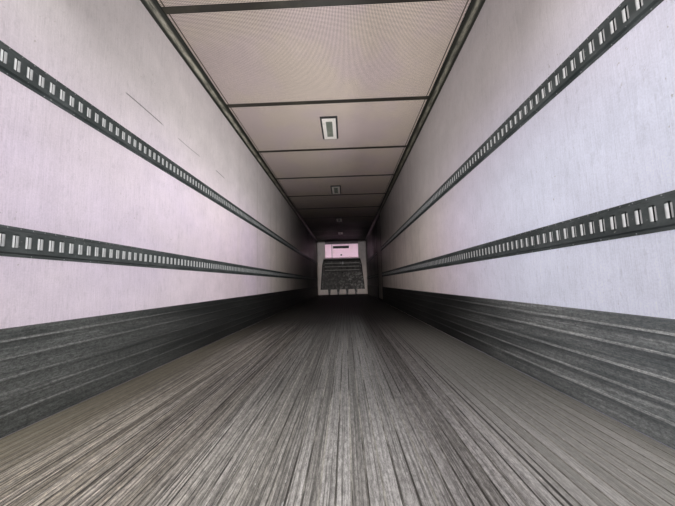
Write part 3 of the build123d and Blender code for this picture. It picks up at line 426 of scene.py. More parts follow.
@dataclass(frozen=True)
class RibbedFloor(Finish):
    """Worn aluminium ribs along the body: each rib has its own tone, fine ridges, scratches and dirt."""

    bare: Rgb = (0.70, 0.68, 0.655)
    worn: Rgb = (0.33, 0.315, 0.29)
    warm: Rgb = (0.42, 0.375, 0.27)
    dust: Rgb = (0.47, 0.48, 0.43)
    swept_dust: Rgb = (0.34, 0.305, 0.215)
    dirt: Rgb = (0.045, 0.042, 0.036)
    chip: Rgb = (0.80, 0.79, 0.76)
    joint_at: float = 0.7175
    joint_edge: Span = (0.0065, 0.003)
    side_depth: Span = (0.0006, 0.006)
    swept_from: Span = (-0.88, -1.14)

    def paint(self, g: Graph) -> None:
        """Long uneven lines, browner left, dusty right, a dark bed, and painted shade mid-floor and to the
        front.

        Args:
            g: The material's graph.
        """
        x, y, z = g.axis("X"), g.axis("Y"), g.axis("Z")
        across = x / RIB_PITCH + 0.5
        rib = g.random(across.floor())
        part = across - across.floor()
        lines = g.noise((130.0, 0.9, 1.0), 5.0, 0.8)
        hair = g.noise((480.0, 7.0, 1.0), 3.0, 0.75)
        broad = g.noise((3.0, 0.5, 1.0), 3.0, 0.6)
        grain = g.noise((110.0, 26.0, 1.0), 5.0, 0.9)
        grit = g.noise((200.0, 90.0, 50.0), 3.0, 0.8)
        left = x.step(0.3, -0.7)
        dusty = x.step(self.joint_at - 0.15, self.joint_at + 0.1)
        swept = x.step(*self.swept_from)

        wear = 0.12 * rib + 0.50 * lines + 0.18 * broad + 0.22 * hair
        colour = g.mix(self.worn, self.bare, wear.step(0.42, 0.62))
        colour = g.mix(colour, self.warm, left * (0.30 + 0.30 * broad.step(0.3, 0.6)))
        colour = g.mix(colour, self.dust, dusty * (0.35 + 0.5 * y.step(-5.6, -4.6)))
        speckle = 0.8 * grain.step(0.34, 0.66) + 0.35 * grit - 0.55
        colour = g.shade(colour, 0.85 + (1 - 0.6 * dusty) * speckle)
        colour = g.shade(colour, 1 + left * (1.0 * lines.step(0.38, 0.62) - 0.45))
        colour = g.mix(colour, self.swept_dust, swept * 0.7)

        broken = g.noise((22.0, 1.6, 1.0), 3.0, 0.7).step(0.42, 0.58)
        fine = abs(part - 0.5).step(0.09, 0.03) * broken
        thin = lines.step(0.48, 0.39) * (0.42 + 0.55 * left)
        colour = g.mix(colour, self.dirt, (fine * 0.42 + thin) * (1 - 0.75 * (dusty + swept)))
        joint = abs(x - self.joint_at).step(*self.joint_edge)
        colour = g.mix(colour, self.dirt, joint * 0.9)
        # the ribs' sides below the crown are darkened nearly to black
        below = z.step(*(FLOOR_TOP - depth for depth in self.side_depth))
        colour = g.mix(colour, self.dirt, below * 0.93)
        chips = g.noise((60.0, 22.0, 40.0), 2.0).step(0.72, 0.75)
        colour = g.mix(colour, self.chip, chips * 0.6)

        # painted light and shade: the sides lighter, the middle darker, and the whole floor darker towards
        # the front
        middle = abs(x - 0.05).step(0.95, 0.25)
        painted_centre_shade = 1.30 - middle * (0.60 + 0.18 * y.step(-6.0, -5.0))
        painted_falloff = 0.05 + 0.41 * y.step(-1.8, -5.0) + 0.75 * y.step(-4.8, -6.2)
        height = 0.7 * lines + 0.5 * grain + 0.3 * hair
        g.finish(Base_Color=g.shade(colour, painted_centre_shade * painted_falloff), Metallic=0.35, Roughness=0.48 + 0.3 * grit,
                 Normal=g.bump(height, 0.0016, 0.9))


@dataclass(frozen=True)
class ScuffedMetal(Finish):
    """Dark scuffed kick liner: paler ridge crowns, long rubbed streaks and pale chips."""

    base: Rgb = (0.082, 0.086, 0.082)
    pale: Rgb = (0.26, 0.265, 0.26)
    dark: Rgb = (0.014, 0.017, 0.017)
    # colour of the painted sheen at the rear end of the right liner
    sheen: Rgb = (0.55, 0.62, 0.72)
    crown_face: float = 1.2365
    crown_depth: float = 0.0022
    ridges: tuple[float, ...] = (0.286, 0.353, 0.430, 0.513, 0.584)

    def under_ridges(self, z: Expr) -> Expr:
        """One in the soft band of painted shade below each ridge, else zero."""
        return sum(z.step(ridge - 0.038, ridge - 0.014) * z.step(ridge - 0.003, ridge - 0.010)
                   for ridge in self.ridges)

    def paint(self, g: Graph) -> None:
        """Streaks along the body, paler where pallets rub, painted shade under ridges, painted light and
        sheen at the rear.

        Args:
            g: The material's graph.
        """
        streaks = g.noise((5.0, 0.9, 95.0), 5.0, 0.75)
        broad = g.noise((1.0, 0.9, 7.0), 4.0, 0.6)
        rubbed = g.noise((5.0, 3.0, 70.0), 4.0, 0.8).step(0.50, 0.62) * broad.step(0.40, 0.64)
        crown = abs(g.axis("X")).step(self.crown_face + self.crown_depth, self.crown_face)
        grain = g.noise((60.0, 55.0, 120.0), 5.0, 0.9)
        right = g.axis("X").above(0.0)
        near = g.axis("Y").step(-3.4, -6.1)
        colour = g.mix(self.dark, self.base, (0.5 * streaks + 0.5 * broad).step(0.3, 0.62))
        colour = g.mix(colour, self.pale, crown * (0.14 + 0.16 * right + 0.38 * streaks.step(0.46, 0.66)))
        colour = g.mix(colour, self.pale, rubbed * (0.22 + 0.22 * right))
        # painted shade below each ridge, more on the right
        colour = g.shade(colour, 1.08 - (0.22 + 0.28 * right) * self.under_ridges(g.axis("Z")))
        colour = g.shade(colour, 0.50 + 1.0 * grain.step(0.34, 0.66))
        # painted sheen and painted light: a bluish sheen and much brighter at the rear end, most on the
        # right, and dark further in
        colour = g.mix(colour, self.sheen, 0.035 * right * near)
        colour = g.shade(colour, 0.22 + (1.5 + 1.15 * right) * near)
        g.finish(Base_Color=colour, Metallic=0.45, Roughness=0.44 + 0.25 * streaks,
                 Normal=g.bump(streaks + 0.4 * rubbed, 0.0012, 0.7))


@dataclass(frozen=True)
class RailPaint(Finish):
    """Dull grey-green rail paint with worn bare metal and painted highlight on the lips and tongues of its
    slots.
    """

    paint_colour: Rgb = (0.022, 0.031, 0.031)
    dust: Rgb = (0.090, 0.105, 0.105)
    chip: Rgb = (0.30, 0.31, 0.29)
    # bare metal, also the colour of the painted highlight in the slots
    metal: Rgb = (0.84, 0.86, 0.86)

    def paint(self, g: Graph) -> None:
        """Paint with dust and chips, and bare metal where the mesh's wear value says, which is mostly painted
        highlight.

        Args:
            g: The material's graph.
        """
        wear = g.node("ShaderNodeAttribute", {"attribute_name": "wear"}, {}, "Fac")
        cloud = g.noise((20.0, 6.0, 14.0), 4.0, 0.65)
        chips = g.noise(60.0, 2.0).step(0.68, 0.74)
        colour = g.mix(self.paint_colour, self.dust, cloud.step(0.38, 0.70) * 0.6)
        colour = g.mix(colour, self.chip, chips * 0.45)
        # bare metal and painted highlight, by the mesh's wear value
        bare = (wear * (0.75 + 0.5 * g.noise((50.0, 50.0, 30.0), 2.0))).step(0.05, 0.95)
        g.finish(Base_Color=g.mix(colour, self.metal, bare), Metallic=bare * 0.25,
                 Roughness=0.5 + 0.2 * cloud - 0.12 * bare,
                 Normal=g.bump(cloud + chips * -0.5, 0.0006, 0.6))


@dataclass(frozen=True)
class DimpledCeiling(Finish):
    """Roof panel: a dimpled warm grey liner below, plain white sheet above."""

    liner: Rgb = (0.80, 0.685, 0.595)
    liner_lilac: Rgb = (0.76, 0.635, 0.62)
    # colour of the painted shade in the pits and creases
    liner_dim: Rgb = (0.16, 0.135, 0.11)
    speck: Rgb = (0.2, 0.17, 0.15)
    skin: Rgb = (0.76, 0.77, 0.78)
    grime: Rgb = (0.36, 0.33, 0.29)
    pitch: float = 0.0165
    under: float = 2.93
    crease: float = 1.149
    crease_edge: Span = (0.009, 0.005)
    # share of the painted shade at the front
    front_dirt: float = 0.99

    def paint(self, g: Graph) -> None:
        """Staggered dimples as a bump with painted shade in each pit and in a crease beside each corner trim.

        Args:
            g: The material's graph.
        """
        x, y = g.axis("X"), g.axis("Y")
        turn = 2 * math.pi / self.pitch / math.sqrt(2)
        dimple = ((x + y) * turn).sin() * ((x - y) * turn).sin() * 0.5 + 0.5
        cloud = g.noise((0.8, 0.9, 1.0), 4.0, 0.6)
        tint = g.noise((1.6, 1.2, 1.0), 3.0, 0.6).step(0.40, 0.62)
        liner = g.mix(self.liner, self.liner_lilac, tint)
        # painted shade: a dark pit in each dimple
        liner = g.mix(self.liner_dim, liner, dimple.step(0.22, 0.74))
        liner = g.shade(liner, 0.97 + 0.38 * cloud)
        liner = g.shade(liner, 0.85 + 0.3 * g.noise((40.0, 40.0, 1.0), 4.0, 0.8))
        # painted shade in the crease beside each corner trim
        liner = g.mix(liner, self.liner_dim, abs(abs(x) - self.crease).step(*self.crease_edge))
        specks = g.noise((120.0, 120.0, 10.0), 2.0).step(0.68, 0.75)
        liner = g.mix(liner, self.speck, specks * 0.35)
        # painted light on the right half, and painted shade that darkens the ceiling to the front
        liner = g.shade(liner, 1 + 0.28 * x.step(-0.2, 0.9))
        liner = g.shade(liner, 1 - self.front_dirt * y.step(0.0, 5.0))
        grime = g.noise((2.0, 5.0, 1.0), 4.0, 0.6).step(0.45, 0.8)
        skin = g.mix(self.skin, self.grime, grime * 0.35)
        above = g.axis("Z").above(self.under)
        height = dimple * (1 - above) + 0.3 * cloud
        g.finish(Base_Color=g.mix(liner, skin, above), Roughness=0.46 + 0.2 * cloud,
                 Specular_IOR_Level=0.15, Normal=g.bump(height, 0.0028, 0.75))


@dataclass(frozen=True)
class MouldedPlastic(Finish):
    """A moulded plastic skin with grain, faint mottling and rubbed patches."""

    colour: Rgb = (0.8, 0.8, 0.8)
    rubbed: Rgb = (0.6, 0.6, 0.6)
    dirt: Rgb = (0.2, 0.18, 0.16)
    mottle: float = 0.5
    dirt_share: float = 0.25
    roughness: float = 0.42
    grain: float = 0.0004
    # X of each painted seam shadow
    seams: tuple[float, ...] = ()
    seam_half: float = 0.022
    # height above which painted shade darkens the part
    dark_above: float = 9.0

    def paint(self, g: Graph) -> None:
        """Mottled colour, dirt in patches, painted seam shadows at their X, painted shade above a height, and
        fine grain.

        Args:
            g: The material's graph.
        """
        cloud = g.noise((3.5, 3.5, 3.0), 5.0, 0.62)
        fine = g.noise(160.0, 2.0)
        run_off = g.noise((14.0, 14.0, 1.1), 4.0, 0.6).step(0.5, 0.8)
        colour = g.mix(self.colour, self.rubbed, cloud.step(0.42, 0.72) * self.mottle)
        colour = g.mix(colour, self.dirt, run_off * self.dirt_share)
        # painted shadow beside each panel seam
        for seam in self.seams:
            line = abs(g.axis("X") - seam).step(self.seam_half, self.seam_half * 0.3)
            colour = g.mix(colour, self.dirt, line * 0.7)
        # painted shade: above this height the part darkens to the dirt colour
        head = g.axis("Z").step(self.dark_above, self.dark_above + 0.012)
        colour = g.mix(colour, self.dirt, head * 0.97)
        g.finish(Base_Color=g.shade(colour, 0.95 + 0.1 * fine), Roughness=self.roughness + 0.16 * cloud,
                 Normal=g.bump(fine + cloud, self.grain, 0.6))


@dataclass(frozen=True)
class RibbedPlastic(Finish):
    """The bulkhead's dark mottled plastic, with painted light and shade: paler rib crowns, dark grooves,
    black head band and sides.
    """

    base: Rgb = (0.105, 0.103, 0.100)
    light: Rgb = (0.44, 0.43, 0.40)
    black: Rgb = (0.004, 0.004, 0.004)
    plain_below: float = 1.30
    face: float = 7.865
    groove: Span = (0.017, 0.006)
    crown: Span = (0.012, 0.021)
    # height of the black painted shadow band below the cover
    head_band: float = 1.854
    band_blur: float = 0.004
    top: float = 1.974
    shoulder: float = 1.662
    top_half: float = 0.917
    slope: float = 0.2372
    low_slope: float = 0.0826
    border: float = 0.040

    def paint(self, g: Graph) -> None:
        """Crowns by depth, the band by height, side edges by distance from the slanted outline.

        Args:
            g: The material's graph.
        """
        x, y, z = abs(g.axis("X")), g.axis("Y"), g.axis("Z")
        cloud = g.noise(7.0, 5.0, 0.7)
        blotch = g.noise(11.0, 4.0, 0.65).step(0.48, 0.60)
        low_right = g.axis("X").step(-0.4, 0.6) * z.step(1.5, 0.9)
        mottle = 0.30 * cloud.step(0.42, 0.62) + blotch * (0.22 + 0.42 * low_right)
        colour = g.mix(self.base, self.light, mottle.step(0.0, 1.1))
        ribbed = z.step(self.plain_below, self.plain_below + 0.06)
        # painted shade in the grooves between the ribs
        groove = y.step(*(self.face - depth for depth in self.groove))
        colour = g.mix(colour, self.black, groove * ribbed * 0.35)
        # painted highlight: the rib crowns paler
        crown = y.step(*(self.face - depth for depth in self.crown)) * ribbed
        colour = g.mix(colour, self.light, crown * (0.80 + 0.20 * blotch))
        # painted shadow along the slanted side edges
        half = self.top_half + (self.top - z) * self.slope
        at_shoulder = self.top_half + (self.top - self.shoulder) * self.slope
        half = half.least(at_shoulder + (self.shoulder - z) * self.low_slope)
        colour = g.mix(colour, self.black, (half - x).step(self.border, self.border * 0.6))
        # painted shadow: the black band where the cover shades the bulkhead's head
        band = z.step(self.head_band - self.band_blur, self.head_band + self.band_blur)
        g.finish(Base_Color=g.mix(colour, self.black, band * 0.93), Roughness=0.6 + 0.2 * cloud,
                 Specular_IOR_Level=0.15, Normal=g.bump(cloud + 0.5 * blotch, 0.003, 0.6))


@dataclass(frozen=True)
class BrushedMetal(Finish):
    """Bare or coated metal with brush lines along one axis, spangle and dirt."""

    colour: Rgb = (0.6, 0.6, 0.6)
    dull: Rgb = (0.4, 0.4, 0.4)
    dirt: Rgb = (0.12, 0.10, 0.08)
    brush: Point = (120.0, 1.5, 120.0)
    spangle: float = 0.0
    dirt_share: float = 0.3
    metallic: float = 0.55
    roughness: float = 0.4

    def paint(self, g: Graph) -> None:
        """Brush lines, optional zinc spangle, and dirt in patches.

        Args:
            g: The material's graph.
        """
        lines = g.noise(self.brush, 3.0, 0.6)
        cloud = g.noise(4.0, 4.0, 0.6)
        colour = g.mix(self.dull, self.colour, (0.6 * lines + 0.4 * cloud).step(0.3, 0.68))
        if self.spangle:
            tone = g.node("ShaderNodeSeparateColor", {}, {0: g.cells(60.0, "Color")}, 0)
            colour = g.shade(colour, 1 - self.spangle / 2 + self.spangle * tone)
        grime = g.noise((3.0, 3.0, 1.4), 5.0, 0.65).step(0.5, 0.78)
        g.finish(Base_Color=g.mix(colour, self.dirt, grime * self.dirt_share), Metallic=self.metallic,
                 Roughness=self.roughness + 0.2 * cloud + 0.15 * grime, Normal=g.bump(lines, 0.0005, 0.5))


@dataclass(frozen=True)
class JambSteel(Finish):
    """The side door's frame: dark rubbed lining within the wall, satin steel outside."""

    lining: Rgb = (0.003, 0.003, 0.003)
    rubbed: Rgb = (0.012, 0.012, 0.011)
    steel: Rgb = (0.60, 0.61, 0.62)
    dirt: Rgb = (0.13, 0.11, 0.09)
    outside: float = 1.285

    def paint(self, g: Graph) -> None:
        """Lining and steel by distance from the body's middle, each with its own wear.

        Args:
            g: The material's graph.
        """
        cloud = g.noise(6.0, 4.0, 0.6)
        lines = g.noise((60.0, 60.0, 2.0), 3.0, 0.6)
        outer = g.axis("X").above(self.outside)
        lining = g.mix(self.lining, self.rubbed, cloud.step(0.5, 0.75))
        steel = g.mix(g.shade(self.steel, 0.75 + 0.5 * lines), self.dirt, cloud.step(0.5, 0.8) * 0.3)
        g.finish(Base_Color=g.mix(lining, steel, outer), Metallic=outer * 0.55,
                 Roughness=0.5 + 0.25 * cloud, Specular_IOR_Level=0.15, Normal=g.bump(lines, 0.0005, 0.5))


@dataclass(frozen=True)
class TrimStrip(Finish):
    """The slanted corner trim: dull olive grey with a paler middle."""

    edge: Rgb = (0.016, 0.017, 0.011)
    middle: Rgb = (0.25, 0.24, 0.19)
    # the left trim's paler middle, as painted light
    left_middle: Rgb = (0.36, 0.34, 0.275)
    size: float = 0.073
    # share of the painted shade at the front
    front_dirt: float = 0.97

    def paint(self, g: Graph) -> None:
        """Paler along the middle of the slant, and dark along its edges.

        Args:
            g: The material's graph.
        """
        across = (abs(g.axis("X")) - HALF_INSIDE + CEILING_HEIGHT - g.axis("Z")) / self.size
        streaks = g.noise((30.0, 4.0, 30.0), 5.0, 0.8).step(0.34, 0.66)
        middle = abs(across - 0.1).step(0.55, 0.10) * (0.45 + 0.6 * streaks)
        # painted light: the left trim's middle paler
        pale = g.mix(self.middle, self.left_middle, g.axis("X").below(0.0))
        colour = g.shade(g.mix(self.edge, pale, middle), 0.55 + 0.8 * streaks)
        # painted shade that darkens the trim to the front
        colour = g.shade(colour, 1 - self.front_dirt * g.axis("Y").step(-0.5, 4.5))
        g.finish(Base_Color=colour, Roughness=0.42 + 0.2 * streaks, Specular_IOR_Level=0.3,
                 Normal=g.bump(streaks, 0.0008, 0.5))


@dataclass(frozen=True)
class PackedDirt(Finish):
    """Dust and grit in the floor's grooves, paler near the walls."""

    dark: Rgb = (0.065, 0.060, 0.052)
    dust: Rgb = (0.36, 0.345, 0.305)
    edge_dust: Rgb = (0.38, 0.36, 0.31)
    edge_from: Span = (0.66, 0.88)

    def paint(self, g: Graph) -> None:
        """Grit in patches along each groove, with painted shade that darkens it to the front.

        Args:
            g: The material's graph.
        """
        patches = g.noise((22.0, 1.6, 1.0), 4.0, 0.75).step(0.42, 0.58)
        grit = g.noise((120.0, 22.0, 60.0), 4.0, 0.85)
        near_wall = abs(g.axis("X")).step(*self.edge_from)
        colour = g.mix(g.mix(self.dark, self.dust, patches), self.edge_dust, near_wall * 0.75)
        colour = g.shade(colour, 0.55 + 0.9 * grit.step(0.32, 0.68))
        y = g.axis("Y")
        # painted shade: darker further from the rear door
        colour = g.shade(colour, 0.05 + 0.40 * y.step(-1.8, -5.0) + 0.6 * y.step(-4.8, -6.2))
        g.finish(Base_Color=colour, Roughness=0.8 + 0.15 * grit, Normal=g.bump(grit, 0.0015, 0.8))


@dataclass(frozen=True)
class LampTray(Finish):
    """A ceiling lamp's tray: a black bezel outside a white frame."""

    black: Rgb = (0.018, 0.018, 0.018)
    white: Rgb = (0.94, 0.90, 0.84)
    yellowed: Rgb = (0.55, 0.52, 0.44)
    bezel: float = 0.011

    def paint(self, g: Graph) -> None:
        """Black near the tray's outline, and white with yellowed patches within.

        Args:
            g: The material's graph.
        """
        y = g.axis("Y")
        along = abs(y - CEILING_LAMPS[0])
        for place in CEILING_LAMPS[1:]:
            along = along.least(abs(y - place))
        wide, long = (half - self.bezel for half in LAMP_HALF)
        edge = abs(g.axis("X")).above(wide) + along.above(long)
        cloud = g.noise(12.0, 4.0)
        white = g.mix(self.white, self.yellowed, cloud.step(0.5, 0.8) * 0.5)
        g.finish(Base_Color=g.mix(white, self.black, edge.above(0.5)), Roughness=0.4 + 0.2 * cloud,
                 Normal=g.bump(cloud, 0.0005, 0.4))


@dataclass(frozen=True)
class RedLens(Finish):
    """A red lamp lens with fine flutes."""

    red: Rgb = (0.42, 0.012, 0.012)
    dusty: Rgb = (0.22, 0.09, 0.07)

    def paint(self, g: Graph) -> None:
        """Flutes across the lens and a little dust.

        Args:
            g: The material's graph.
        """
        flute = (g.axis("X") * 900.0).sin() * 0.5 + 0.5
        dust = g.noise(8.0, 4.0)
        g.finish(Base_Color=g.mix(self.red, self.dusty, dust.step(0.45, 0.8) * 0.5),
                 Roughness=0.16 + 0.2 * dust, Normal=g.bump(flute, 0.0006, 0.7))


@dataclass(frozen=True)
class LampLens(Finish):
    """The frosted grey-green lens of a ceiling lamp, with prism lines."""

    colour: Rgb = (0.20, 0.225, 0.185)
    dusty: Rgb = (0.34, 0.35, 0.29)

    def paint(self, g: Graph) -> None:
        """Prism lines along the lens, dust at its rim.

        Args:
            g: The material's graph.
        """
        prism = (g.axis("Y") * 700.0).sin() * 0.5 + 0.5
        dust = g.noise(9.0, 4.0)
        colour = g.mix(self.colour, self.dusty, dust.step(0.4, 0.75))
        g.finish(Base_Color=g.shade(colour, 0.9 + 0.12 * prism), Roughness=0.24 + 0.2 * dust,
                 Normal=g.bump(prism, 0.0008, 0.6))


@dataclass(frozen=True)
class MattRubber(Finish):
    """Black rubber with bloom and fine pits."""

    colour: Rgb = (0.022, 0.022, 0.023)
    bloom: Rgb = (0.085, 0.083, 0.08)

    def paint(self, g: Graph) -> None:
        """Grey bloom in patches, pits as a bump.

        Args:
            g: The material's graph.
        """
        cloud = g.noise(9.0, 5.0, 0.65)
        pits = g.noise(210.0, 2.0)
        g.finish(Base_Color=g.mix(self.colour, self.bloom, cloud.step(0.4, 0.8) * 0.7),
                 Roughness=0.62 + 0.25 * cloud, Normal=g.bump(pits, 0.0006, 0.6))


@dataclass(frozen=True)
class StripedTape(Finish):
    """Reflective tape in red and white blocks with a fine weave of cells."""

    red: Rgb = (0.55, 0.02, 0.03)
    white: Rgb = (0.78, 0.78, 0.76)
    dirt: Rgb = (0.2, 0.17, 0.14)
    long_block: float = 0.28
    share: float = 0.6

    def paint(self, g: Graph) -> None:
        """Blocks along X plus Y, and cells as a bump.

        Args:
            g: The material's graph.
        """
        along = (g.axis("Y") + g.axis("X")) / (self.long_block / self.share)
        part = along - along.floor()
        cells = g.cells(220.0)
        grime = g.noise((4.0, 4.0, 6.0), 4.0).step(0.5, 0.8)
        colour = g.mix(g.mix(self.red, self.white, part.above(self.share)), self.dirt, grime * 0.4)
        g.finish(Base_Color=colour, Roughness=0.3 + 0.25 * grime, Normal=g.bump(cells, 0.0004, 0.5))


@dataclass(frozen=True)
class StageFloor(Finish):
    """The plain pale floor under the part, which keeps its shadow."""

    colour: Rgb = (0.78, 0.78, 0.77)

    def paint(self, g: Graph) -> None:
        """A nearly even tone."""
        g.finish(Base_Color=g.shade(self.colour, 0.985 + 0.03 * g.noise(0.4, 2.0)), Roughness=0.85)


WALLS = LinerAndSkin("wall_liner_and_skin")
OUTER_WHITE = LinerAndSkin("outer_white_sheet", everywhere_skin=True)
FLOOR = RibbedFloor("worn_floor_ribs")
SCUFF = ScuffedMetal("scuffed_kick_liner")
RAILS = RailPaint("slotted_rail_paint")
CEILING = DimpledCeiling("dimpled_ceiling")
COVE = TrimStrip("corner_trim")
JOINTS = MouldedPlastic(
    "dark_joint_strip", colour=(0.026, 0.022, 0.015), rubbed=(0.065, 0.060, 0.040),
    dirt=(0.014, 0.012, 0.010), mottle=0.8)
LAMP_FRAME = LampTray("lamp_tray_bezel")
DIRT = PackedDirt("packed_groove_dirt")
LENS = LampLens("ceiling_lamp_lens")
# the cover's seam line and its head are painted shade
COVER = MouldedPlastic(
    "cover_white", colour=(0.89, 0.585, 0.745), rubbed=(0.80, 0.545, 0.63), dirt=(0.10, 0.075, 0.095),
    mottle=0.8, dirt_share=0.10, seams=(-0.478,), seam_half=0.026, dark_above=2.697)
BULKHEAD = RibbedPlastic("bulkhead_plastic")
UNIT = MouldedPlastic(
    "unit_white_skin", colour=(0.78, 0.78, 0.77), rubbed=(0.66, 0.66, 0.65), dirt_share=0.22, roughness=0.3)
GRILLE = MouldedPlastic(
    "grille_black", colour=(0.03, 0.03, 0.032), rubbed=(0.07, 0.07, 0.07), dirt=(0.14, 0.12, 0.10))
ENGINE = BrushedMetal(
    "engine_grey", colour=(0.20, 0.21, 0.22), dull=(0.10, 0.105, 0.11), metallic=0.25, roughness=0.5)
ALUMINIUM = BrushedMetal(
    "satin_rail", colour=(0.66, 0.67, 0.68), dull=(0.50, 0.51, 0.52), dirt_share=0.22)
ZINC = BrushedMetal(
    "zinc_hardware", colour=(0.60, 0.61, 0.61), dull=(0.44, 0.45, 0.45), brush=(40.0, 40.0, 3.0),
    spangle=0.22, dirt_share=0.25)
FRAME = BrushedMetal(
    "rear_frame_steel", colour=(0.62, 0.63, 0.64), dull=(0.48, 0.49, 0.50), brush=(3.0, 60.0, 60.0),
    dirt_share=0.25)
JAMB = JambSteel("side_door_jamb")
BEAMS = BrushedMetal(
    "beam_coating", colour=(0.30, 0.30, 0.30), dull=(0.20, 0.20, 0.20), dirt=(0.16, 0.11, 0.07),
    brush=(1.5, 60.0, 60.0), metallic=0.2, dirt_share=0.5, roughness=0.6)
SUBPAN = MouldedPlastic(
    "underside_pan", colour=(0.10, 0.10, 0.10), rubbed=(0.18, 0.17, 0.16), dirt=(0.16, 0.12, 0.09))
RUBBER = MattRubber("matt_rubber")
RED = RedLens("red_lens")
AMBER = MouldedPlastic(
    "amber_lens", colour=(0.75, 0.26, 0.02), rubbed=(0.6, 0.2, 0.03), dirt_share=0.15, roughness=0.18)
TAPE = StripedTape("reflective_tape")
WHITE_TAPE = StripedTape("white_reflective_tape", red=(0.80, 0.80, 0.78))


# Mesh tools


@dataclass
class Shape:
    """Points and faces worked out with numpy, ready to be put in a mesh."""

    points: np.ndarray
    quads: np.ndarray
    wear: np.ndarray | None = None

    @staticmethod
    def grid(points: np.ndarray, close_u: bool = False, close_v: bool = False) -> "Shape":
        """A surface from an array of points on two parameters.

        The face between (u, v) and (u + 1, v + 1) is one quad, and a closed parameter joins its end to its
        start.

        Args:
            points: Array of shape (u, v, 3).
            close_u: Joins the last row to the first.
            close_v: Joins the last column to the first.

        Returns:
            The surface.
        """
        rows, columns = points.shape[:2]
        index = np.arange(rows * columns).reshape(rows, columns)
        if close_u:
            index = np.vstack((index, index[:1]))
        if close_v:
            index = np.hstack((index, index[:, :1]))
        corners = (index[:-1, :-1], index[1:, :-1], index[1:, 1:], index[:-1, 1:])
        return Shape(points.reshape(-1, 3).astype(float), np.stack(corners, axis=-1).reshape(-1, 4))

    def repeated(self, offsets: Any) -> "Shape":
        """Copies of this shape, each moved by one offset.

        Args:
            offsets: Rows of X, Y and Z.

        Returns:
            All copies as one shape.
        """
        offsets = np.asarray(offsets, float)
        starts = np.arange(len(offsets)) * len(self.points)
        points = (self.points[None] + offsets[:, None]).reshape(-1, 3)
        quads = (self.quads[None] + starts[:, None, None]).reshape(-1, 4)
        wear = None if self.wear is None else np.tile(self.wear, len(offsets))
        return Shape(points, quads, wear)

    def flipped(self, when: bool = True) -> "Shape":
        """This shape with its faces turned over, where asked."""
        return Shape(self.points, self.quads[:, ::-1], self.wear) if when else self

    def mapped(self, change: Callable[[np.ndarray], np.ndarray]) -> "Shape":
        """This shape with its points changed by a function."""
        return Shape(change(self.points), self.quads, self.wear)

    @staticmethod
    def joined(shapes: Sequence["Shape"]) -> "Shape":
        """Several shapes as one.

        Args:
            shapes: The shapes, of which those without wear have none.

        Returns:
            One shape, with wear if any of them has it.
        """
        starts = np.cumsum([0] + [len(shape.points) for shape in shapes[:-1]])
        points = np.vstack([shape.points for shape in shapes])
        quads = np.vstack([shape.quads + start for shape, start in zip(shapes, starts)])
        wear = None
        if any(shape.wear is not None for shape in shapes):
            parts = [np.zeros(len(shape.points)) if shape.wear is None else shape.wear for shape in shapes]
            wear = np.concatenate(parts)
        return Shape(points, quads, wear)


BEVEL_LIMIT = 0.45
BEVEL_CORNER = 0.35


def octagon(low: np.ndarray, high: np.ndarray, cut: float, z: float) -> list[Point]:
    """Eight points of a level rectangle whose corners each take a cut from both of their edges."""
    (x0, y0), (x1, y1) = low, high
    return [(x0 + cut, y0, z), (x1 - cut, y0, z), (x1, y0 + cut, z), (x1, y1 - cut, z),
            (x1 - cut, y1, z), (x0 + cut, y1, z), (x0, y1 - cut, z), (x0, y0 + cut, z)]


def slab(low: Sequence[float], high: Sequence[float], soft: float) -> Shape:
    """A block with bevelled edges: each point lies on one face, a soft distance inside the others.

    Args:
        low: Lowest corner.
        high: Highest corner.
        soft: Bevel width.

    Returns:
        The block, as four levels of eight points, with its foot and head closed by three faces each.
    """
    low_a, high_a = np.array(low, float), np.array(high, float)
    soft = min(soft, *(BEVEL_LIMIT * (high_a - low_a)))
    levels = [(low_a[2], soft), (low_a[2] + soft, 0.0), (high_a[2] - soft, 0.0), (high_a[2], soft)]
    rings = [octagon(low_a[:2] + inset, high_a[:2] - inset, max(soft - inset, soft * BEVEL_CORNER), z)
             for z, inset in levels]
    body = Shape.grid(np.array(rings), close_v=True)
    foot = np.array([[0, 7, 6, 1], [1, 6, 5, 2], [2, 5, 4, 3]])
    head = len(body.points) - len(rings[0]) + foot[:, ::-1]
    return Shape(body.points, np.vstack((body.quads[:, ::-1], foot, head)))


def side_slab(sign: int, x: Span, y: Span, z: Span, soft: float) -> Shape:
    """A block on the side of a sign, between two distances from the body's middle."""
    near, far = sorted((sign * x[0], sign * x[1]))
    return slab((near, y[0], z[0]), (far, y[1], z[1]), soft)


BORDER_SHEET = 0.0016
BORDER_SINK = 0.001
BORDER_BEVEL = 0.0006


def border(across: Span, up: Span, wide: float, low_corner: Callable[[float, float], Point],
           high_corner: Callable[[float, float], Point]) -> Shape:
    """Four flat strips inside a rectangle's edge: foot, head, and the two sides between them.

    Args:
        across: The rectangle's start and end.
        up: Its foot and head.
        wide: Width of the strips.
        low_corner: Makes a strip's lowest corner from a place across and a height.
        high_corner: Makes its highest corner.

    Returns:
        The strips.
    """
    (left, right), (low, high) = across, up
    spans = ((left, right, low, low + wide), (left, right, high - wide, high),
             (left, left + wide, low + wide, high - wide), (right - wide, right, low + wide, high - wide))
    return Shape.joined([slab(low_corner(a, c), high_corner(b, d), BORDER_BEVEL) for a, b, c, d in spans])


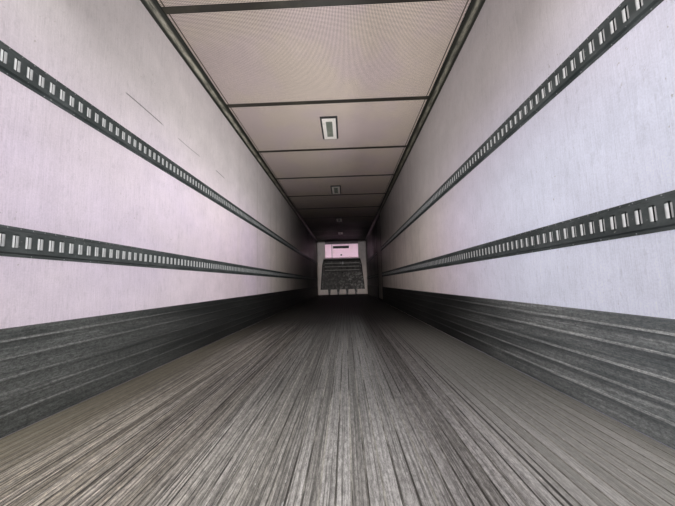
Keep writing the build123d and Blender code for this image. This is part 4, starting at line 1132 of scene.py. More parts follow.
def lathe(reach: np.ndarray, lift: np.ndarray, sides: int) -> Shape:
    """A profile turned about Z: x = reach cos t, y = reach sin t, z = lift.

    Args:
        reach: Distance from the axis at each step of the profile.
        lift: Height at each step.
        sides: Steps of t round the circle.

    Returns:
        The surface, which has to be flipped where its profile runs up.
    """
    turns = np.linspace(0, 2 * math.pi, sides, endpoint=False)
    reach, lift = reach[:, None], lift[:, None]
    points = np.stack((reach * np.cos(turns), reach * np.sin(turns), lift + 0 * turns), axis=-1)
    return Shape.grid(points, close_v=True)


def dome(radius: float, height: float, sides: int = 8) -> Shape:
    """A rivet head that stands on the XY plane, open below: rings of a flattened half sphere."""
    reach = radius * np.array([1.0, 0.87, 0.5, 0.06])
    return lathe(reach, height * np.array([0.0, 0.5, 0.87, 1.0]), sides).flipped()


def bolt_head(radius: float, height: float) -> Shape:
    """A six-sided bolt head with a chamfered crown that stands on the XY plane, open below."""
    reach = radius * np.array([1.0, 1.0, 0.84, 0.02])
    return lathe(reach, height * np.array([0.0, 0.8, 1.0, 1.0]), 6).flipped()


def turned_to(axis: str) -> Callable[[np.ndarray], np.ndarray]:
    """The turn that lays +Z along an axis, without turning the shape inside out.

    Args:
        axis: +X, -X, +Y, -Y or -Z.

    Returns:
        A function from points to turned points.
    """
    turns = {
        "+X": lambda p: p[:, [2, 0, 1]],
        "-X": lambda p: p[:, [2, 1, 0]] * (-1, 1, 1),
        "+Y": lambda p: p[:, [1, 2, 0]],
        "-Y": lambda p: p[:, [0, 2, 1]] * (1, -1, 1),
        "-Z": lambda p: p * (1, -1, -1),
    }
    return turns[axis]


def swept(profile: np.ndarray, path: np.ndarray, sideways: np.ndarray, upwards: np.ndarray) -> Shape:
    """An open profile carried along a path: point = path + a times sideways + b times upwards."""
    return Shape.grid(path[:, None] + profile[None, :, :1] * sideways + profile[None, :, 1:] * upwards)


ROD_CHAMFER = 0.15
ROD_CLOSED = 0.02


def rod(start: Point, end: Point, radius: float, sides: int, soft: float = 0.0) -> Shape:
    """A round bar between two points: circles about the line, which shrink to a chamfer and a closed end.

    Args:
        start: Middle of one end.
        end: Middle of the other end.
        radius: Its radius.
        sides: Points round each circle.
        soft: Width of the chamfer, or zero for a share of the radius.

    Returns:
        The bar.
    """
    a, b = Vector(start), Vector(end)
    along = (b - a).normalized()
    across = along.orthogonal().normalized()
    other = along.cross(across)
    length = (b - a).length
    soft = soft or radius * ROD_CHAMFER
    steps = np.array([0.0, 0.0, soft, length - soft, length, length])
    half = np.array([ROD_CLOSED * radius, radius - soft, radius])
    reach = np.concatenate((half, half[::-1]))
    turns = np.linspace(0, 2 * math.pi, sides, endpoint=False)
    ring = np.cos(turns)[:, None] * np.array(across) + np.sin(turns)[:, None] * np.array(other)
    points = np.array(a) + steps[:, None, None] * np.array(along) + reach[:, None, None] * ring[None]
    return Shape.grid(points, close_v=True).flipped()


SHARP_ANGLE = math.radians(38)


def put(name: str, shape: Shape | Sequence[Shape], finish: Finish, body: str,
        smooth: bool = True) -> bpy.types.Object:
    """Makes a piece and lets it ride on a body.

    Args:
        name: The piece's name.
        shape: Its points and faces, or several shapes, in the part's frame.
        finish: Its finish.
        body: The body that it rides on.
        smooth: Whether its faces are shaded smooth up to a sharp angle.

    Returns:
        The new object.
    """
    shape = shape if isinstance(shape, Shape) else Shape.joined(shape)
    mesh = bpy.data.meshes.new(name)
    mesh.vertices.add(len(shape.points))
    mesh.vertices.foreach_set("co", shape.points.astype(np.float32).ravel())
    count = len(shape.quads)
    mesh.loops.add(count * 4)
    mesh.loops.foreach_set("vertex_index", shape.quads.astype(np.int32).ravel())
    mesh.polygons.add(count)
    mesh.polygons.foreach_set("loop_start", np.arange(0, count * 4, 4, dtype=np.int32))
    mesh.polygons.foreach_set("use_smooth", np.full(count, smooth))
    mesh.update(calc_edges=True)
    mesh.validate()
    if smooth:
        mesh.set_sharp_from_angle(angle=SHARP_ANGLE)
    if shape.wear is not None:
        layer = mesh.attributes.new("wear", "FLOAT", "POINT")
        layer.data.foreach_set("value", shape.wear.astype(np.float32))
    mesh.materials.append(finish.material())
    piece = bpy.data.objects.new(name, mesh)
    bpy.context.scene.collection.objects.link(piece)
    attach(piece, body)
    log.info("%s: %d faces on %s", name, count, body)
    return piece


def dress(finish: Finish, *nodes: str) -> None:
    """Gives CAD nodes a finish.

    Args:
        finish: The finish.
        nodes: The nodes' names.
    """
    for node in nodes:
        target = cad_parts[node]
        if not target.material_slots:
            target.data.materials.append(None)
        for place in target.material_slots:
            place.material = finish.material()
        log.info("%s: %s", node, finish.name)


@dataclass(frozen=True)
class RivetRows:
    """Rows of rivet heads along straight lines."""

    radius: float
    height: float
    level_pitch: float = 0.14
    upright_pitch: float = 0.15

    def rows(self, lines: Sequence[Line], axis: str) -> Shape:
        """Rivets on several lines: evenly spaced, as near their pitch as the line's length lets them.

        Args:
            lines: Start, end and pitch of each line.
            axis: The way that the heads point.

        Returns:
            All heads as one shape.
        """
        places = []
        for start, end, pitch in lines:
            a, b = np.array(start, float), np.array(end, float)
            count = max(2, int(round(np.linalg.norm(b - a) / pitch)) + 1)
            places.append(a + (b - a) * np.linspace(0, 1, count)[:, None])
        head = dome(self.radius, self.height).mapped(turned_to(axis))
        return head.repeated(np.vstack(places))

    def rectangle(self, across: Span, up: Span, place: Callable[[float, float], Point], axis: str) -> Shape:
        """Rivets round a rectangle: a row along its foot and head, and one up each side between them.

        Args:
            across: Its start and end across.
            up: Its foot and head.
            place: Makes a point from a place across and a height.
            axis: The way that the heads point.

        Returns:
            All heads as one shape.
        """
        lines = [(place(across[0], z), place(across[1], z), self.level_pitch) for z in up]
        low, high = up[0] + self.level_pitch, up[1] - self.level_pitch
        lines += [(place(s, low), place(s, high), self.upright_pitch) for s in across]
        return self.rows(lines, axis)


BORDER_RIVETS = RivetRows(0.0048, 0.0022)


@dataclass(frozen=True)
class Grip:
    """Ribs of a rubber sleeve along a handle."""

    ribs: int
    first: float
    wide: float = 0.017
    pitch: float = 0.020
    half_depth: float = 0.009
    half_height: float = 0.021
    soft: float = 0.004

    def reaches(self) -> list[Span]:
        """Start and end of each rib, as distances from the lock rod."""
        starts = [self.first + index * self.pitch for index in range(self.ribs)]
        return [(start, start + self.wide) for start in starts]


# Load space


@dataclass
class CargoRails:
    """Slotted rails along both walls, which stand for the plain rails of the part.

    Each slot has a sunk flat tongue on the left of someone who faces the wall, painted bright as the lit
    wall seen through the slot, and a rolled lip on its right with worn metal and a painted highlight. A rail
    is drawn with its crown at X = 0, the load space on +X, and Z up from its middle.
    """

    stretches: tuple[tuple[Side, str, float, float], ...]
    heights: tuple[tuple[str, float], ...] = (("lower", 0.994), ("upper", 1.756))
    proud: float = 0.013
    sheet: float = 0.0027
    edge: float = 0.064
    band: float = 0.046
    foot: float = 0.052
    pitch: float = 0.0508
    slot_width: float = 0.0225
    slot_height: float = 0.060
    corner: float = 0.006
    lip: tuple[Span, ...] = (
        (0.0034, 0.0), (0.0018, 0.0004), (0.0006, -0.0004), (0.0, -0.0016), (0.0, -0.0036))
    lip_edge: float = 0.0030
    tongue_edge: float = 0.0016
    tongue_depth: float = 0.0022
    # depth of the dark sheet that stands for the shade and dirt behind the slots
    floor_depth: float = 0.0118
    # share of painted highlight on each ring, on the tongue's side and the lip's side, and what is left of it
    # at the slot's ends as painted shade
    bright: tuple[float, ...] = (0, 0, 0.1, 0.5, 0.62, 1)
    dull: tuple[float, ...] = (0, 0, 0.1, 0.35, 0.50, 0.60)
    end_wear: float = 0.05
    rivet: RivetRows = RivetRows(0.0030, 0.0016)
    rivet_wear: float = 0.36

    def ring(self, index: int, tongue: int) -> np.ndarray:
        """One ring of a slot's cell: points on a rectangle, or on a rounded one inside it.

        Args:
            index: Zero for the cell's own rectangle, then one for each step of the lip.
            tongue: Sign of Y on the tongue's side.

        Returns:
            Four points for each corner, which sit on the tongue or the lip in the last ring.
        """
        inner_y, inner_z = self.slot_width / 2 - self.corner, self.slot_height / 2 - self.corner
        grow, depth = self.lip[index - 1] if index else (0.0, 0.0)
        if index:
            arc, radius = np.radians([0.0, 30.0, 60.0, 90.0]), self.corner + grow
            quarter = np.stack((inner_y + radius * np.cos(arc), inner_z + radius * np.sin(arc)), axis=-1)
        else:
            half = self.pitch / 2
            quarter = np.array([(half, inner_z), (half, self.band), (self.pitch * 0.3, self.band),
                                (inner_y, self.band)])
        points = []
        for sy, sz in ((1, 1), (-1, 1), (-1, -1), (1, -1)):
            part = quarter if sy * sz > 0 else quarter[::-1]
            x, y = np.full(4, depth), sy * part[:, 0]
            if index == len(self.lip):
                on_tongue = y * tongue > 0
                x = np.where(on_tongue, -self.tongue_depth, x)
                y = tongue * np.where(on_tongue, self.tongue_edge, -self.lip_edge)
            points.append(np.stack((x, y, sz * part[:, 1]), axis=-1))
        return np.vstack(points)

    def cell(self, tongue: int) -> Shape:
        """One slot with its tongue and lip, on a rectangle one pitch wide.

        Rings go from the rectangle to the slot's edge and then inwards. On the tongue's side the last ring
        lies near the slot's middle, a little below the crown.

        Args:
            tongue: Sign of Y on the tongue's side.

        Returns:
            The cell, with wear values that paint a highlight on the tongue and the lip, and painted shade at
            the slot's ends.
        """
        points = np.array([self.ring(index, tongue) for index in range(len(self.lip) + 1)])
        shape = Shape.grid(points, close_v=True)
        on_tongue = points[-2:-1, :, 1] * tongue > 0
        # painted highlight on the tongue and the lip, with painted shade at the slot's ends
        bright, dull = np.array(self.bright)[:, None], np.array(self.dull)[:, None]
        at_end = np.abs(points[:, :, 2]) > self.slot_height / 2 - self.corner + 1e-5
        shape.wear = (np.where(on_tongue, bright, dull) * np.where(at_end, self.end_wear, 1.0)).ravel()
        return shape

    def sheet_between(self, rear: float, front: float, depth: float) -> Shape:
        """A flat sheet as tall as the crown, between two places along the rail."""
        edges = [[(depth, y, z) for z in (-self.band, self.band)] for y in (rear, front)]
        return Shape.grid(np.array(edges))

    def rail(self, rear: float, front: float, tongue: int) -> Shape:
        """One rail.

        Args:
            rear: Its rear end.
            front: Its front end.
            tongue: Sign of Y on the tongues' side.

        Returns:
            Slot cells, flanges, a dark sheet behind the slots that stands for the shade and dirt in the
            channel, and rivets.
        """
        count = int((front - rear) / self.pitch)
        start = (rear + front - count * self.pitch) / 2
        middles = start + (np.arange(count) + 0.5) * self.pitch
        cells = self.cell(tongue).repeated(np.stack((0 * middles, middles, 0 * middles), axis=-1))
        low = self.sheet - self.proud
        profile = np.array([(-self.proud, self.edge), (low, self.edge), (low, self.foot), (0.0, self.band)])
        path = np.array([(0.0, rear, 0.0), (0.0, front, 0.0)])
        across, up = np.array((1.0, 0.0, 0.0)), np.array((0.0, 0.0, 1.0))
        flanges = [swept(profile, path, across, up), swept(profile * (1, -1), path, across, up).flipped()]
        end = start + count * self.pitch
        # the last span is the dark sheet that stands for the shade and dirt inside the channel
        spans = ((rear, start, 0.0), (end, front, 0.0), (rear, front, -self.floor_depth))
        sheets = [self.sheet_between(a, b, depth) for a, b, depth in spans if b - a > 1e-4]
        level = (self.edge + self.foot) / 2
        offsets = np.vstack([
            np.stack((np.full(len(y), low), y + self.pitch / 2, np.full(len(y), side * level)), axis=-1)
            for side, y in ((1, middles[:-1]), (-1, middles[:-1:3]))])
        heads = dome(self.rivet.radius, self.rivet.height, 6).mapped(turned_to("+X")).repeated(offsets)
        heads.wear = np.full(len(heads.points), self.rivet_wear)
        return Shape.joined([cells, *flanges, *sheets, heads])

    def on_wall(self, shape: Shape, side: Side, height: float) -> Shape:
        """A drawn rail on its wall: X = sign times (crown - x), Z = z + height."""
        x = side.value * (HALF_INSIDE - self.proud - shape.points[:, 0])
        return shape.mapped(
            lambda p: np.stack((x, p[:, 1], p[:, 2] + height), axis=-1)).flipped(side is Side.LEFT)

    def build(self) -> None:
        """Puts each rail on its wall, and hides the plain rails."""
        for side, part, rear, front in self.stretches:
            shape = self.rail(rear, front, side.value)
            for level, height in self.heights:
                name = f"slotted_rail_{side.tag}_{part}_{level}"
                piece = put(name, self.on_wall(shape, side, height), RAILS, BOX)
                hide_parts("cargo_rails")


@dataclass
class FloorDirt:
    """Dirt that is packed in the floor's grooves, deeper in some than in others."""

    gap: float = 0.007
    clearance: float = 0.0001
    depths: tuple[float, ...] = (0.0006, 0.0018, 0.0038, 0.009)
    chances: tuple[float, ...] = (0.50, 0.34, 0.13, 0.03)
    least: float = 0.0003
    most: float = 0.02
    filled_from: float = 0.74
    filled_depth: float = 0.0004
    filled_share: float = 0.25
    waves: int = 4
    steps: int = 190
    seed: int = 5

    def depth(self, x: float, y: np.ndarray, random: np.random.Generator) -> np.ndarray:
        """Depth of the dirt below the ribs' crowns: the groove's own depth times a sum of random sines.

        Args:
            x: The groove's middle.
            y: Places along it.
            random: Where the draws come from.

        Returns:
            The depth at each place.
        """
        own = random.choice(self.depths, p=self.chances)
        if abs(x) > self.filled_from:
            own = self.filled_depth + self.filled_share * own * random.random()
        waves = sum(
            random.uniform(0.2, 0.5) * np.sin(y * random.uniform(1.5, 14.0) + random.uniform(0, 6.3))
            for _ in range(self.waves))
        return np.clip(own * (1 + 0.5 * waves), self.least, self.most)

    def build(self) -> None:
        """One strip a groove: its depth wanders along Y, and near the walls it is nearly filled."""
        random = np.random.default_rng(self.seed)
        count = int(2 * HALF_INSIDE / RIB_PITCH)
        middles = (np.arange(count - 1) - (count - 2) / 2) * RIB_PITCH
        y = np.linspace(REAR_INNER, FRONT_INNER, self.steps)
        half = self.gap / 2 - self.clearance
        strips = []
        for x in middles:
            z = FLOOR_TOP - self.depth(x, y, random)
            edges = [np.stack((np.full_like(y, x + side), y, z), axis=-1) for side in (-half, half)]
            strips.append(Shape.grid(np.stack(edges, axis=1)).flipped())
        put("floor_groove_dirt", strips, DIRT, BOX)


@dataclass
class LoadSpace:
    """Finishes and small fittings of the load space."""

    joint_first: float = 0.5
    joints: int = 13
    joint_depth: float = 0.003
    joint_rivet_end: float = 0.12
    joint_rivet_shift: float = 0.018
    joint_rivet_pitch: float = 0.1
    lamp_depth: float = 0.018
    gasket: tuple[Span, ...] = ((0.0, 0.0), (0.0, -0.006), (0.008, -0.006), (0.012, -0.002), (0.012, 0.0))
    screw_inset: Span = (0.04, 0.05)

    def build(self) -> None:
        """Dresses the nodes, then adds rails, dirt, rivets and lamp trims."""
        dress(WALLS, "wall_left", "wall_right_rear", "wall_right_front", "front_wall")
        for finish, node in (
            (FLOOR, "t_floor"), (SCUFF, "scuff_liners"), (COVE, "coves"), (CEILING, "roof_panel"),
            (JOINTS, "ceiling_joints"), (LAMP_FRAME, "lamp_housings"), (LENS, "lamp_lenses"),
            (RAILS, "cargo_rails"),
        ):
            dress(finish, node)
        low, high = node_box("side_door_frame")
        CargoRails((
            (Side.LEFT, "whole", REAR_INNER, FRONT_INNER),
            (Side.RIGHT, "rear", REAR_INNER, low.y), (Side.RIGHT, "front", high.y, FRONT_INNER),
        )).build()
        FloorDirt().build()
        self.joint_rivets()
        self.lamp_trims()

    def joint_rivets(self) -> None:
        """Rivets in two rows on each ceiling strip."""
        z = CEILING_HEIGHT - self.joint_depth
        half = HALF_INSIDE - self.joint_rivet_end
        lines = []
        for index in range(self.joints):
            y = FRONT_INNER - self.joint_first - index * SHEET_PITCH
            for shift in (-self.joint_rivet_shift, self.joint_rivet_shift):
                lines.append(((-half, y + shift, z), (half, y + shift, z), self.joint_rivet_pitch))
        put("ceiling_rivets", RivetRows(0.005, 0.0022).rows(lines, "-Z"), JOINTS, BOX)

    def lamp_trims(self) -> None:
        """Four screws in each lamp's tray, and a dark gasket: a profile carried round its corners."""
        profile = np.array(self.gasket)
        ways = np.array([(1, -1), (1, 1), (-1, 1), (-1, -1)])
        inset_x, inset_y = LAMP_HALF[0] - self.screw_inset[0], LAMP_HALF[1] - self.screw_inset[1]
        gaskets, screws = [], []
        for y in CEILING_LAMPS:
            corners = ways * LAMP_HALF + (0.0, y)
            points = np.zeros((4, len(profile), 3))
            points[:, :, :2] = corners[:, None] + ways[:, None] * profile[None, :, :1]
            points[:, :, 2] = CEILING_HEIGHT + profile[:, 1]
            gaskets.append(Shape.grid(points, close_u=True))
            screws += [(sx * inset_x, y + sy * inset_y, CEILING_HEIGHT - self.lamp_depth)
                       for sx in (-1, 1) for sy in (-1, 1)]
        put("lamp_gaskets", gaskets, RUBBER, BOX, smooth=False)
        heads = dome(0.005, 0.0025, 10).mapped(turned_to("-Z")).repeated(screws)
        put("lamp_screws", heads, ZINC, BOX)


@dataclass
class FrontFittings:
    """The evaporator cover and the return air bulkhead with their small fittings."""

    cover_face: float = 7.705
    cover_half: float = 0.83
    cover_low: float = 2.032
    cover_high: float = 2.700
    outlet_across: Span = (-0.4215, 0.3655)
    outlet_up: Span = (2.480, 2.596)
    blades: int = 5
    posts: int = 12
    seam_gap: Span = (0.050, 0.062)
    seam_depth: Span = (-0.004, 0.002)
    screw_inset: float = 0.03
    knob: tuple[float, float, float] = (-0.02, 2.155, 0.042)
    bulkhead_face: float = 7.865
    bulkhead_up: Span = (0.464, 1.974)
    bulkhead_half: Span = (1.062, 0.917)
    bracket_depth: float = 0.022
    bracket_z: float = 1.762
    pull: tuple[float, float, float] = (0.014, 1.29, 0.045)
    bolt_inset: float = 0.045
    bolts: int = 9

    def build(self) -> None:
        """Dresses both nodes and adds outlet bars, seams, screws, a drain knob and brackets."""
        dress(COVER, "evaporator_cover")
        dress(BULKHEAD, "air_bulkhead")
        self.outlet_bars()
        self.seams()
        self.cover_fixings()
        self.bracket()
        self.bulkhead_fixings()

    def outlet_bars(self) -> None:
        """Dark blades and posts inside the air outlet, with a plate behind them."""
        (left, right), (low, high) = self.outlet_across, self.outlet_up
        y = self.cover_face + 0.002
        bars = [slab((left + 0.004, y + 0.07, z), (right - 0.004, y + 0.11, z + 0.004), 0.001)
                for z in np.linspace(low + 0.012, high - 0.016, self.blades)]
        bars += [slab((x - 0.002, y + 0.06, low - 0.004), (x + 0.002, y + 0.09, high + 0.004), 0.001)
                 for x in np.linspace(left + 0.06, right - 0.06, self.posts)]
        plate = slab((left - 0.01, y + 0.13, low - 0.02), (right + 0.01, y + 0.135, high + 0.02), 0.001)
        bars.append(plate)
        put("outlet_blades", bars, RUBBER, BOX, smooth=False)

    def seams(self) -> None:
        """Two raised seams of the cover's panels, one on each side of the outlet."""
        (left, right), (near, far) = self.outlet_across, self.seam_gap
        rear, front = (self.cover_face + depth for depth in self.seam_depth)
        seams = [slab((a, rear, self.cover_low + 0.01), (b, front, self.cover_high), 0.0015)
                 for a, b in ((left - far, left - near), (right + near, right + far))]
        put("cover_seams", seams, COVER, BOX, smooth=False)

    def cover_fixings(self) -> None:
        """Screws along the cover's head and foot, and the drain knob."""
        face, half = self.cover_face, self.cover_half - self.screw_inset
        lines = [((-half, face, z), (half, face, z), 0.2)
                 for z in (self.cover_high - 0.02, self.cover_low + 0.025)]
        put("cover_screws", RivetRows(0.006, 0.003).rows(lines, "-Y"), ZINC, BOX)
        x, z, radius = self.knob
        knob = rod((x, face + 0.004, z), (x, face - 0.018, z), radius, 24)
        put("cover_drain_knob", knob, RUBBER, BOX)

    def bracket(self) -> None:
        """A pale bracket with two ears at the bulkhead's head."""
        face, z = self.bulkhead_face - self.bracket_depth, self.bracket_z
        plates = [
            slab((0.0, face - 0.012, z - 0.055), (0.075, face, z + 0.055), 0.003),
            slab((-0.085, face - 0.008, z - 0.035), (-0.055, face, z + 0.030), 0.003),
            slab((0.018, face - 0.030, z - 0.012), (0.057, face - 0.010, z + 0.012), 0.003),
        ]
        put("bulkhead_bracket", plates, ZINC, BOX, smooth=False)

    def bulkhead_fixings(self) -> None:
        """The bulkhead's pull, and bolts down its slanted edges."""
        face = self.bulkhead_face
        x, z, radius = self.pull
        pull = rod((x, face + 0.002, z), (x, face - 0.012, z), radius, 20)
        put("bulkhead_pull", pull, RUBBER, BOX)
        (low, high), (low_half, high_half) = self.bulkhead_up, self.bulkhead_half
        places = []
        for side in (-1, 1):
            for share in np.linspace(0.06, 0.95, self.bolts):
                half = high_half + (low_half - high_half) * (1 - share)
                places.append((side * (half - self.bolt_inset), face, high * share + low * (1 - share)))
        heads = bolt_head(0.011, 0.006).mapped(turned_to("-Y")).repeated(places)
        put("bulkhead_bolts", heads, ZINC, BOX, smooth=False)


# Outside


@dataclass
class OuterShell:
    """Finishes, rivets, marker lamps and tape outside the body."""

    skin: float = 1.297
    rail_face: float = 1.300
    low: float = 0.192
    high: float = 2.832
    front_face: float = 8.077
    sheets: int = 13
    lap_shift: float = 0.013
    lap_reach: float = 0.025
    lap_end: float = 0.05
    lap_pitch: float = 0.075
    frame_clear: float = 0.03
    rail_pitch: float = 0.15
    rail_end: float = 0.1
    rivet: RivetRows = RivetRows(0.006, 0.0028)
    front_pitch: float = 0.12
    front_uprights: tuple[float, ...] = (-1.262, -1.03, 1.03, 1.262)
    front_up: Span = (0.26, 2.86)
    front_levels: tuple[Span, ...] = ((1.20, 0.26), (0.98, 0.72))
    marker_places: tuple[float, ...] = (-7.2, 0.0, 7.3)
    marker_half: Span = (0.055, 0.02)
    marker_rim: Span = (0.012, 0.006)
    tape_first: float = -7.0
    tape_pitch: float = 1.66
    tape_long: float = 0.92
    tape_up: Span = (0.122, 0.168)
    tapes: int = 9

    def build(self) -> None:
        """Dresses the outer nodes, then adds rivets, lamps and tape."""
        dress(ALUMINIUM, "bottom_rails", "top_rails")
        dress(BEAMS, "crossmembers", "coupler_plate")
        dress(SUBPAN, "subfloor_panel")
        self.rivets()
        self.front_rivets()
        self.markers()
        self.tape()

    def laps(self, side: Side) -> list[float]:
        """Where the outer sheets lap on one wall.

        Args:
            side: The wall.

        Returns:
            The laps' places along Y, without those at the side door's frame.
        """
        low, high = node_box("side_door_frame")
        places = [FRONT_INNER - index * SHEET_PITCH for index in range(1, self.sheets + 1)]
        places = [y for y in places if y - self.lap_reach > REAR_INNER]
        if side is Side.LEFT:
            return places
        return [y for y in places if not low.y - self.frame_clear < y < high.y + self.frame_clear]

    def rivets(self) -> None:
        """Two rows on each lap and one row along each rail."""
        low, high = self.low + self.lap_end, self.high - self.lap_end
        rear, front = REAR_INNER + self.rail_end, FRONT_INNER - self.rail_end
        for side in (Side.RIGHT, Side.LEFT):
            skin, rail = side.value * self.skin, side.value * self.rail_face
            lines = []
            for y in self.laps(side):
                for shift in (-self.lap_shift, self.lap_shift):
                    lines.append(((skin, y + shift, low), (skin, y + shift, high), self.lap_pitch))
            for z in (self.low - 0.006, self.high + 0.07):
                lines.append(((rail, rear, z), (rail, front, z), self.rail_pitch))
            heads = self.rivet.rows(lines, "+X" if side is Side.RIGHT else "-X")
            put(f"wall_rivets_{side.tag}", heads, ALUMINIUM, BOX)

    def front_rivets(self) -> None:
        """Rivets round the edge of the front wall."""
        face, (low, high), pitch = self.front_face, self.front_up, self.front_pitch
        lines = [((x, face, low), (x, face, high), pitch) for x in self.front_uprights]
        lines += [((-half, face, z), (half, face, z), pitch) for half, z in self.front_levels]
        put("front_wall_rivets", self.rivet.rows(lines, "+Y"), ALUMINIUM, BOX)

    def markers(self) -> None:
        """Small amber marker lamps in rubber beds along both rails."""
        face, (half_y, half_z), (rim_y, rim_z) = self.rail_face, self.marker_half, self.marker_rim
        beds, lenses = [], []
        for sign in (-1, 1):
            for y in self.marker_places:
                for z in (self.high + 0.035, 0.075):
                    along, up = (y - half_y, y + half_y), (z - half_z, z + half_z)
                    beds.append(side_slab(sign, (face - 0.003, face + 0.006), along, up, 0.004))
                    along, up = (along[0] + rim_y, along[1] - rim_y), (up[0] + rim_z, up[1] - rim_z)
                    lenses.append(side_slab(sign, (face + 0.004, face + 0.016), along, up, 0.004))
        put("marker_beds", beds, RUBBER, BOX, smooth=False)
        put("marker_lenses", lenses, AMBER, BOX, smooth=False)

    def tape(self) -> None:
        """Strips of reflective tape along the bottom rails."""
        x = (self.rail_face - 0.004, self.rail_face - 0.0010)
        strips = []
        for sign in (-1, 1):
            for index in range(self.tapes):
                y = self.tape_first + index * self.tape_pitch
                strips.append(side_slab(sign, x, (y, y + self.tape_long), self.tape_up, 0.0006))
        put("bottom_rail_tape", strips, TAPE, BOX, smooth=False)


@dataclass
class RearEnd:
    """Finishes and fittings of the rear frame."""

    face: float = -8.077
    rivet: RivetRows = RivetRows(0.007, 0.003)
    post_x: float = 1.246
    post_up: Span = (0.25, 2.80)
    post_pitch: float = 0.17
    beam_half: float = 1.15
    beam_levels: Span = (2.862, 0.03)
    beam_pitch: float = 0.23
    lamp_z: float = 0.101
    lamp_places: tuple[float, ...] = (-0.76, -0.56, 0.56, 0.76)
    lamp_half: Span = (0.080, 0.030)
    rim: float = 0.009
    tape_depth: Span = (0.0015, 0.001)
    sill_tape: tuple[float, float, float] = (0.44, 0.052, 0.098)
    corner_tape_across: Span = (0.86, 1.21)
    corner_tape_up: Span = (2.905, 2.950)
    bumper_x: float = 1.19
    bumper_face: float = 0.075
    bumper_bolts: Span = (0.038, 0.092)

    def build(self) -> None:
        """Dresses the rear and side door frames, then adds rivets, lamp rims, tape and bumper bolts."""
        dress(FRAME, "rear_posts", "rear_header", "rear_sill")
        dress(RUBBER, "dock_bumpers")
        dress(RED, "rear_lamps")
        dress(JAMB, "side_door_frame")
        self.rivets()
        self.lamp_rims()
        self.tapes()
        heads = [(sign * self.bumper_x, self.face - self.bumper_face, z)
                 for sign in (-1, 1) for z in self.bumper_bolts]
        bolts = bolt_head(0.014, 0.006).mapped(turned_to("-Y")).repeated(heads)
        put("bumper_bolts", bolts, ZINC, BOX, smooth=False)

    def rivets(self) -> None:
        """Rivets up both posts and along the header and the sill."""
        face, (low, high), half = self.face, self.post_up, self.beam_half
        lines = [((x, face, low), (x, face, high), self.post_pitch) for x in (-self.post_x, self.post_x)]
        lines += [((-half, face, z), (half, face, z), self.beam_pitch) for z in self.beam_levels]
        put("rear_frame_rivets", self.rivet.rows(lines, "-Y"), ZINC, BOX)

    def lamp_rims(self) -> None:
        """A rubber rim round each tail lamp."""
        half_x, half_z = (half + self.rim for half in self.lamp_half)
        rear, front = self.face - 0.006, self.face + 0.001
        low, high = self.lamp_z - half_z, self.lamp_z + half_z
        rims = [slab((x - half_x, rear, low), (x + half_x, front, high), 0.004) for x in self.lamp_places]
        put("tail_lamp_rims", rims, RUBBER, BOX, smooth=False)

    def tapes(self) -> None:
        """Striped tape on the sill, and white tape at the header's ends."""
        y = (self.face - self.tape_depth[0], self.face + self.tape_depth[1])
        half, low, high = self.sill_tape
        sill = slab((-half, y[0], low), (half, y[1], high), 0.0006)
        put("sill_tape", sill, TAPE, BOX, smooth=False)
        corners = [side_slab(sign, self.corner_tape_across, y, self.corner_tape_up, 0.0006)
                   for sign in (-1, 1)]
        put("corner_tape", corners, WHITE_TAPE, BOX, smooth=False)


